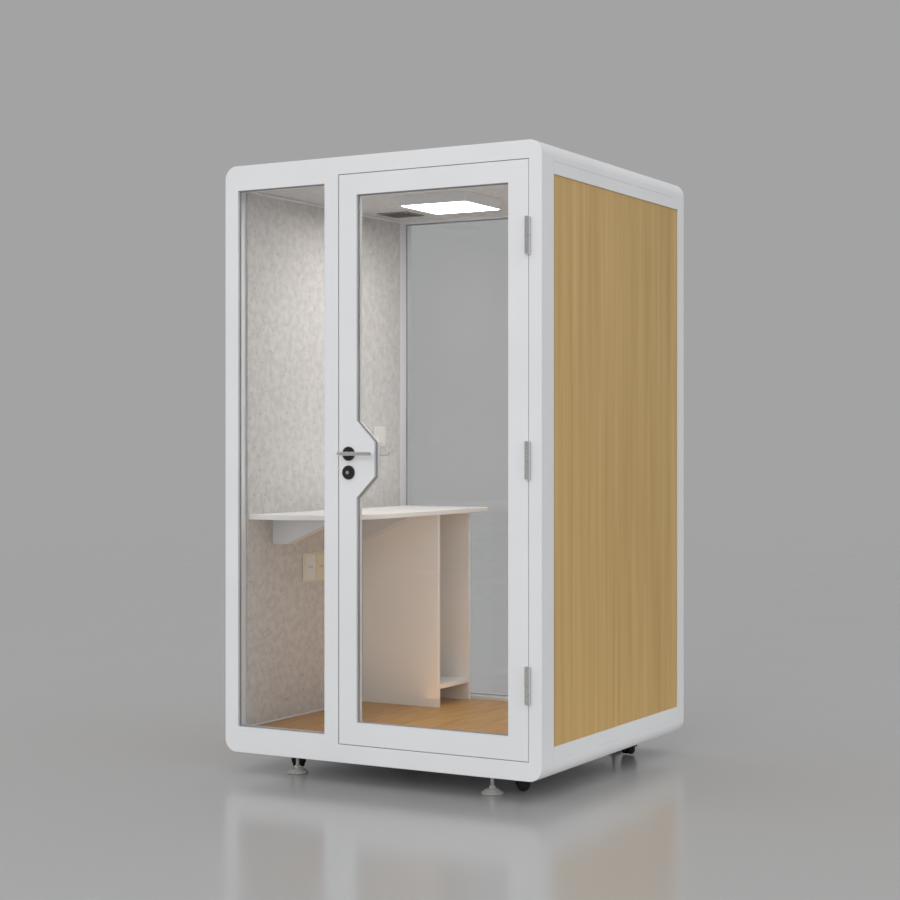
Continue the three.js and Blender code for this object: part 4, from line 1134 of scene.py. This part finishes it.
class POD_OT_desk(bpy.types.Operator):
    """Make the desk top with its swept corner, its brackets and the cabinet below it"""

    bl_idname = "pod.desk"
    bl_label = "Desk and cabinet"

    def execute(self, context):
        self.board()
        self.brackets()
        self.cabinet()
        return {"FINISHED"}

    def board(self):
        """The front corner is a quarter ellipse: the width times the cosine, the sweep times the sine."""
        s = sizes()
        x, y, z = extent("desk_top")
        angles = np.linspace(-math.pi / 2 + 0.004, 0, 36)
        sweep = np.stack([
            x[0] + (x[1] - x[0]) * np.cos(angles),
            y[0] + s.desk_sweep * (1 + np.sin(angles)),
        ], axis=1)
        outline = np.concatenate([[[x[0], y[0]]], sweep, [[x[1], y[1]], [x[0], y[1]]]])
        board = slab(outline, z, "XY", s.desk_round)
        piece("desk_board", "shell", LAMINATE, [board], ["desk_top"])

    def brackets(self):
        """Folded gussets: level and short below, slanting up to the front."""
        for node in ("front_desk_bracket", "rear_desk_bracket"):
            x, y, z = extent(node)
            gusset = np.array([[x[0], z[1]], [x[0], z[0]], [x[0] + sizes().bracket_flat, z[0]], [x[1], z[1]]])
            lip = band(gusset, inset(gusset, 9 * MM), y, "XZ", (1.5 * MM, PIN, PIN, 1.5 * MM))
            web = slab(inset(gusset, 8 * MM), grown(y, -2 * MM), "XZ", HAIR)
            piece(f"{node}_folded", "shell", COAT, [lip, web], [node])

    def cabinet(self):
        """Two upright boards with a shelf between them."""
        s = sizes()
        x, y, z = extent("cabinet_carcass")
        shelf = extent("floor_panel")[2][1] + s.shelf_rise
        inside = grown(y, -s.panel)
        boards = [
            plate([x, (y[0], inside[0]), z], "XZ", PIN),
            plate([x, (inside[1], y[1]), z], "XZ", PIN),
            plate([x, inside, (shelf - s.panel, shelf)], "XY", PIN),
        ]
        piece("cabinet_boards", "shell", LAMINATE, boards, ["cabinet_carcass"])


# Wall plates

class POD_OT_wall_plates(bpy.types.Operator):
    """Make the switch with its rocker, and the double socket"""

    bl_idname = "pod.wall_plates"
    bl_label = "Wall plates"

    def execute(self, context):
        self.switch()
        self.socket()
        return {"FINISHED"}

    def switch(self):
        """A cover round a rocker that stands tilted in its hole."""
        x, y, z = extent("switch_plate")
        half_key = (22 * MM, 30 * MM)
        room = 0.6 * MM
        tilt = math.radians(-4)
        hole = [about(sum(pair) / 2, half + room) for pair, half in zip((y, z), half_key)]
        cover = band(
            rounded_rectangle(y, z, 7 * MM), rounded_rectangle(*hole, 2 * MM), x, "YZ",
            (HAIR, HAIR, PIN, 2.5 * MM))
        back = slab(inset(rectangle(*hole), -PIN), (x[0], x[0] + 1.5 * MM), "YZ", HAIR)
        piece("switch_cover", "shell", WHITE_ABS, [cover, back], ["switch_plate"])
        key = plate([about(0, half) for half in (2.5 * MM, *half_key)], "YZ", 1.2 * MM, 2 * MM)
        tilted = moved(key, turn_about("Y", tilt), joint("switch_rock"))
        piece("switch_key", "rocker", WHITE_ABS, [tilted], ["switch_rocker"])

    def socket(self):
        """A cover with two raised inserts, each with three thin grey plates that paint the shade of its plain
        holes.
        """
        x, y, z = extent("socket_plate")
        middle_z = sum(z) / 2
        cover = plate([(x[0], x[1] - 3 * MM), y, z], "YZ", 2 * MM, 7 * MM)
        inserts = []
        slot_shades = []
        for centre in about(sum(y) / 2, 40 * MM):
            limits = [(x[0] + PIN, x[1]), about(centre, 35 * MM), about(middle_z, 49 * MM)]
            inserts.append(plate(limits, "YZ", 1.6 * MM, 4 * MM))
            for shift in (-12 * MM, 0, 12 * MM):
                # Painted shade: each hole is a thin grey plate, a hair proud of the insert and darker than it
                limits = [(x[1] - PIN, x[1] + HAIR), about(centre + shift, 1.5 * MM), about(middle_z, 5 * MM)]
                slot_shades.append(plate(limits, "YZ", 0.05 * MM))
        piece("socket_cover", "shell", STONE_ABS, [cover, inserts[1]], ["socket_plate"])
        piece("socket_front_insert", "shell", PALE_ABS, [inserts[0]])
        piece("socket_slots", "shell", GREY_ABS, slot_shades)


# Feet and castors

class POD_OT_feet(bpy.types.Operator):
    """Make the levelling feet: a rubber sole, a dished pad, a hexagon and a threaded stem"""

    bl_idname = "pod.feet"
    bl_label = "Levelling feet"

    def execute(self, context):
        base = extent("base_chassis")[2][0]
        sole_profile = np.array([(0.2, 0), (37, 0), (38.8, 0.8), (39, 2.4), (0.2, 2.4)]) * MM
        dish_profile = np.array([
            (0.2, 2.4), (39.2, 2.4), (40, 3.4), (40, 5), (39.2, 6.2), (36, 8.2), (30.5, 12), (26, 15.4),
            (22.5, 17.6), (18, 19.2), (14, 20), (0.2, 20),
        ]) * MM
        for corner in CORNERS:
            place = joint(f"{corner}_foot_turn") * (1, 1, 0)
            sole = turned(sole_profile, place, "Z")
            dish = turned(dish_profile, place, "Z")
            hexagon = slab(circle(place[:2], 13 * MM, 6), (20 * MM, 29 * MM), "XY", PIN)
            stem = self.threaded(place, (29 * MM, base + 2 * MM), 7 * MM)
            body = f"{corner}_foot"
            steel = [dish, hexagon, stem]
            piece(f"{corner}_foot_steel", body, ZINC, steel, [f"{corner}_levelling_foot"])
            piece(f"{corner}_foot_sole", body, RUBBER, [sole])
        return {"FINISHED"}

    def threaded(self, place, span, radius):
        """The radius drops by a triangle wave of the height over the pitch, less the angle's share of a turn."""
        pitch = sizes().thread_pitch
        depth = 0.9 * MM
        rows = int(8 * (span[1] - span[0]) / pitch)
        height = np.linspace(*span, rows)[:, None]
        share = np.arange(THREAD_SIDES) / THREAD_SIDES
        wave = np.abs(((height / pitch - share) % 1) * 2 - 1)
        flat = (radius - depth * wave)[..., None] * circle((0, 0), 1, THREAD_SIDES)
        points = spatial("XY", flat, np.broadcast_to(height, flat.shape[:2]))
        return woven(points + place)


class POD_OT_castors(bpy.types.Operator):
    """Make the castors: a crown, two cheeks under a hood, and a wheel in two halves with hub caps"""

    bl_idname = "pod.castors"
    bl_label = "Castors"

    def execute(self, context):
        for corner in CORNERS:
            self.castor(corner)
        return {"FINISHED"}

    def castor(self, corner):
        """Made with the wheel trailing towards -Y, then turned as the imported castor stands."""
        stem = joint(f"{corner}_castor_swivel")
        axle = joint(f"{corner}_wheel_spin")
        axis = joint(f"{corner}_wheel_spin", "axis")
        trail = float(np.hypot(*(axle - stem)[:2]))
        rotation = turn_about("Z", math.atan2(axis[1], axis[0]))
        centre = (stem[0], stem[1], 0)
        fork = [moved(shell, rotation, centre) for shell in self.fork(np.array([-trail, axle[2]]))]
        tyre, caps = [moved(shell, rotation, centre) for shell in self.wheel((0, -trail, axle[2]))]
        replaced = [f"{corner}_castor_fork"]
        piece(f"{corner}_castor_hood", f"{corner}_fork", NYLON, fork, replaced)
        wheel = f"{corner}_wheel"
        piece(f"{corner}_castor_tyre", wheel, TYRE, [tyre], [f"{corner}_castor_wheel"])
        piece(f"{corner}_castor_hub", wheel, GREY_ABS, [caps])

    def fork(self, hub):
        """A turned crown under the base, two cheeks down to the axle, and a hood round the wheel's top."""
        bottom = extent("base_chassis")[2][0]
        crown = turned(np.array([
            (0.2, -11.3), (26, -11.3), (28, -9.3), (28, -4), (23, -2.4), (23, -0.3), (0.2, -0.3),
        ]) * MM, (0, 0, bottom), "Z")
        neck_z = bottom - 10.3 * MM
        neck = [[14 * MM, neck_z], [-14 * MM, neck_z]]
        cheek = np.concatenate([neck, arc(hub, 11 * MM, 175, 365)])
        cheeks = [slab(cheek, span, "YZ", PIN) for span in ((-26.7 * MM, -22.7 * MM), (22.7 * MM, 26.7 * MM))]
        hood_outline = np.concatenate([arc(hub, 29.5 * MM, 5, 165), arc(hub, 26.6 * MM, 5, 165)[::-1]])
        hood = slab(hood_outline, about(0, 26.4 * MM), "YZ", 0.8 * MM)
        return [crown, *cheeks, hood]

    def wheel(self, spot):
        """Two treads with a groove between them, and caps in both faces."""
        tread = mirrored([
            (13, -22), (20.5, -22), (23.2, -20.8), (24.6, -19), (25, -16.6), (25, -4.5), (24, -3), (15, -3)])
        cap = mirrored([(3.2, -20.6), (6, -20.6), (6.6, -21.6), (11, -21.6), (11.8, -20.4), (12.9, -20.4)])
        return [turned(profile, spot, "X") for profile in (tread, cap)]


# Stage, light and camera

CAMERA_PLACE = (3.493, -6.234, 1.253)
CAMERA_TURN = math.radians(29.53)
CAMERA_LENS = 72.72
CAMERA_RISE = -0.0074
SENSOR_WIDTH = 36
VIEW_REACH = 200
FLOOR_REACH = 30.0
FLOOR_FADE = (9.0, 28.0)
# Place, target, width and height, watts and colour; each glow stands in for light that comes through
# the glass, or is thrown back inside the cabin or from the floor onto the base
LAMPS = {
    "key": ((1.5, -11.0, 3.8), (0, 0, 1.1), (5.0, 5.0), 330, "FFFFFF"),
    "fill": ((10.0, -5.0, 2.8), (0, 0, 1.1), (4.0, 4.0), 60, "FFFFFF"),
    "front_glow": ((-0.02, -0.592, 1.18), (-0.02, 0.0, 1.18), (1.2, 2.0), 2.3, "FFFFFF"),
    "wall_glow": ((0.57, 0.0, 1.15), (0.0, 0.0, 1.15), (0.8, 1.7), 2.6, "FFFFFF"),
    "desk_glow": ((-0.33, 0.1, 1.02), (-0.33, 0.1, 2.0), (0.24, 0.8), 0.8, "FFFFFF"),
    "floor_glow": ((0.1, 0.0, 0.2), (0.1, 0.0, 1.0), (0.8, 0.8), 1.3, "FFC278"),
    "base_glow": ((0.95, 0.0, 0.005), (0.95, 0.0, 1.0), (0.6, 1.3), 0.7, "FFFFFF"),
}
WORLD_LIGHT = 0.98


class POD_OT_stage(bpy.types.Operator):
    """Make the studio: a plain floor, soft lamps, the backdrop and the camera"""

    bl_idname = "pod.stage"
    bl_label = "Stage"

    def execute(self, context):
        self.floor()
        self.lamps()
        self.backdrop(context.scene)
        self.camera(context.scene)
        context.scene.view_settings.view_transform = "Standard"
        return {"FINISHED"}

    def floor(self):
        """A flat grid, painted smooth, whose finish fades into the backdrop's grey far from the pod."""
        tint = colours().backdrop
        tree, shader, place = start_finish(STUDIO_PAINT)
        shade = grain(tree, place, 900, detail=1.0)
        fill(tree, shader, {
            "Base Color": layered(tree, opaque(tint, 0.99), (shade, 1.0, opaque(tint))),
            "Roughness": add(tree, RANGE, {"Value": shade, "To Min": 0.16, "To Max": 0.2}),
        })
        reach = add(tree, "ShaderNodeVectorMath", {0: place}, operation="LENGTH")
        far = add(tree, RANGE, {"Value": reach, "From Min": FLOOR_FADE[0], "From Max": FLOOR_FADE[1]})
        wall = add(tree, "ShaderNodeEmission", {"Color": opaque(tint)})
        faded = add(tree, "ShaderNodeMixShader", {0: far, 1: shader, 2: wall})
        add(tree, "ShaderNodeOutputMaterial", {"Surface": faded}, is_active_output=True)
        side = np.linspace(-FLOOR_REACH, FLOOR_REACH, 3)
        x, y = np.meshgrid(side, side)
        points = np.stack([x, y, np.zeros_like(x)], axis=-1).reshape(-1, 3)
        index = np.arange(9).reshape(3, 3)
        corners = [index[:-1, :-1], index[:-1, 1:], index[1:, 1:], index[1:, :-1]]
        quads = np.stack(corners, axis=-1).reshape(-1, 4)
        mesh = bpy.data.meshes.new("studio_floor")
        mesh.from_pydata(points.tolist(), [], quads.tolist())
        mesh.materials.append(bpy.data.materials[STUDIO_PAINT])
        floor = bpy.data.objects.new("studio_floor", mesh)
        bpy.context.scene.collection.objects.link(floor)

    def lamps(self):
        """Soft sheets of light that neither the camera nor a mirror or glass sees."""
        for name, (place, target, size, power, code) in LAMPS.items():
            light = bpy.data.lights.new(name, "AREA")
            light.shape = "RECTANGLE"
            light.size, light.size_y = size
            light.energy = power
            light.color = linear(code)
            lamp = bpy.data.objects.new(name, light)
            lamp.visible_camera = lamp.visible_glossy = lamp.visible_transmission = False
            direction = np.array(target) - np.array(place)
            level = math.hypot(direction[0], direction[1])
            lamp.location = place
            tilt = math.atan2(level, -direction[2])
            lamp.rotation_euler = (tilt, 0, math.atan2(-direction[0], direction[1]))
            bpy.context.scene.collection.objects.link(lamp)

    def backdrop(self, scene):
        """The world lights the scene at one level, and shows camera, mirrors and glass the backdrop's grey.

        A ray that has left a matt surface carries light, so it meets the light level through glass too.
        """
        world = bpy.data.worlds.new("studio")
        world.use_nodes = True
        tree = world.node_tree
        tree.nodes.clear()
        path = add(tree, "ShaderNodeLightPath").outputs
        mirrored_ray = add(
            tree, "ShaderNodeMath", {0: path["Is Camera Ray"], 1: path["Is Glossy Ray"]}, operation="MAXIMUM")
        direct = add(
            tree, "ShaderNodeMath", {0: mirrored_ray, 1: path["Is Transmission Ray"]}, operation="MAXIMUM")
        seen = add(
            tree, "ShaderNodeMath", {0: direct, 1: path["Diffuse Depth"]},
            operation="SUBTRACT", use_clamp=True)
        light = add(tree, "ShaderNodeBackground", {"Color": (1, 1, 1, 1), "Strength": WORLD_LIGHT})
        wall = add(tree, "ShaderNodeBackground", {"Color": opaque(colours().backdrop), "Strength": 1.0})
        shown = add(tree, "ShaderNodeMixShader", {0: seen, 1: light, 2: wall})
        add(tree, "ShaderNodeOutputWorld", {"Surface": shown})
        scene.world = world

    def camera(self, scene):
        """The photograph's view, level and turned about Z."""
        lens = bpy.data.cameras.new("photo_view")
        lens.lens = CAMERA_LENS
        lens.sensor_width = SENSOR_WIDTH
        lens.shift_y = CAMERA_RISE
        lens.clip_end = VIEW_REACH
        camera = bpy.data.objects.new("photo_view", lens)
        camera.location = CAMERA_PLACE
        camera.rotation_euler = (math.pi / 2, 0, CAMERA_TURN)
        scene.collection.objects.link(camera)
        scene.camera = camera


# Panel and registration

OPERATORS = (
    POD_OT_finishes, POD_OT_front_frame, POD_OT_rear_frame, POD_OT_roof_and_base, POD_OT_side_walls,
    POD_OT_door, POD_OT_glazing, POD_OT_lever_set, POD_OT_hinges, POD_OT_ceiling, POD_OT_desk,
    POD_OT_wall_plates, POD_OT_feet, POD_OT_castors, POD_OT_stage,
)


class POD_PT_panel(bpy.types.Panel):
    """The pod's pieces, sizes and colours"""

    bl_idname = "POD_PT_panel"
    bl_label = "Acoustic office pod"
    bl_space_type = "VIEW_3D"
    bl_region_type = "UI"
    bl_category = "Pod"

    def draw(self, context):
        for operator in OPERATORS:
            self.layout.operator(operator.bl_idname)
        for group in (context.scene.pod_sizes, context.scene.pod_colours):
            column = self.layout.box()
            for name in group.__annotations__:
                column.prop(group, name)


CLASSES = (PodSizes, PodColours, *OPERATORS, POD_PT_panel)


def register():
    """Adds the classes, and the sizes and colours to the scene."""
    for made in CLASSES:
        bpy.utils.register_class(made)
    bpy.types.Scene.pod_sizes = bpy.props.PointerProperty(type=PodSizes)
    bpy.types.Scene.pod_colours = bpy.props.PointerProperty(type=PodColours)


def unregister():
    """Takes away what register adds."""
    del bpy.types.Scene.pod_colours
    del bpy.types.Scene.pod_sizes
    for made in reversed(CLASSES):
        bpy.utils.unregister_class(made)


def main():
    """Registers the add-on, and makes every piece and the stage."""
    register()
    for operator in OPERATORS:
        group, name = operator.bl_idname.split(".")
        getattr(getattr(bpy.ops, group), name)()


if __name__ == "__main__":
    main()
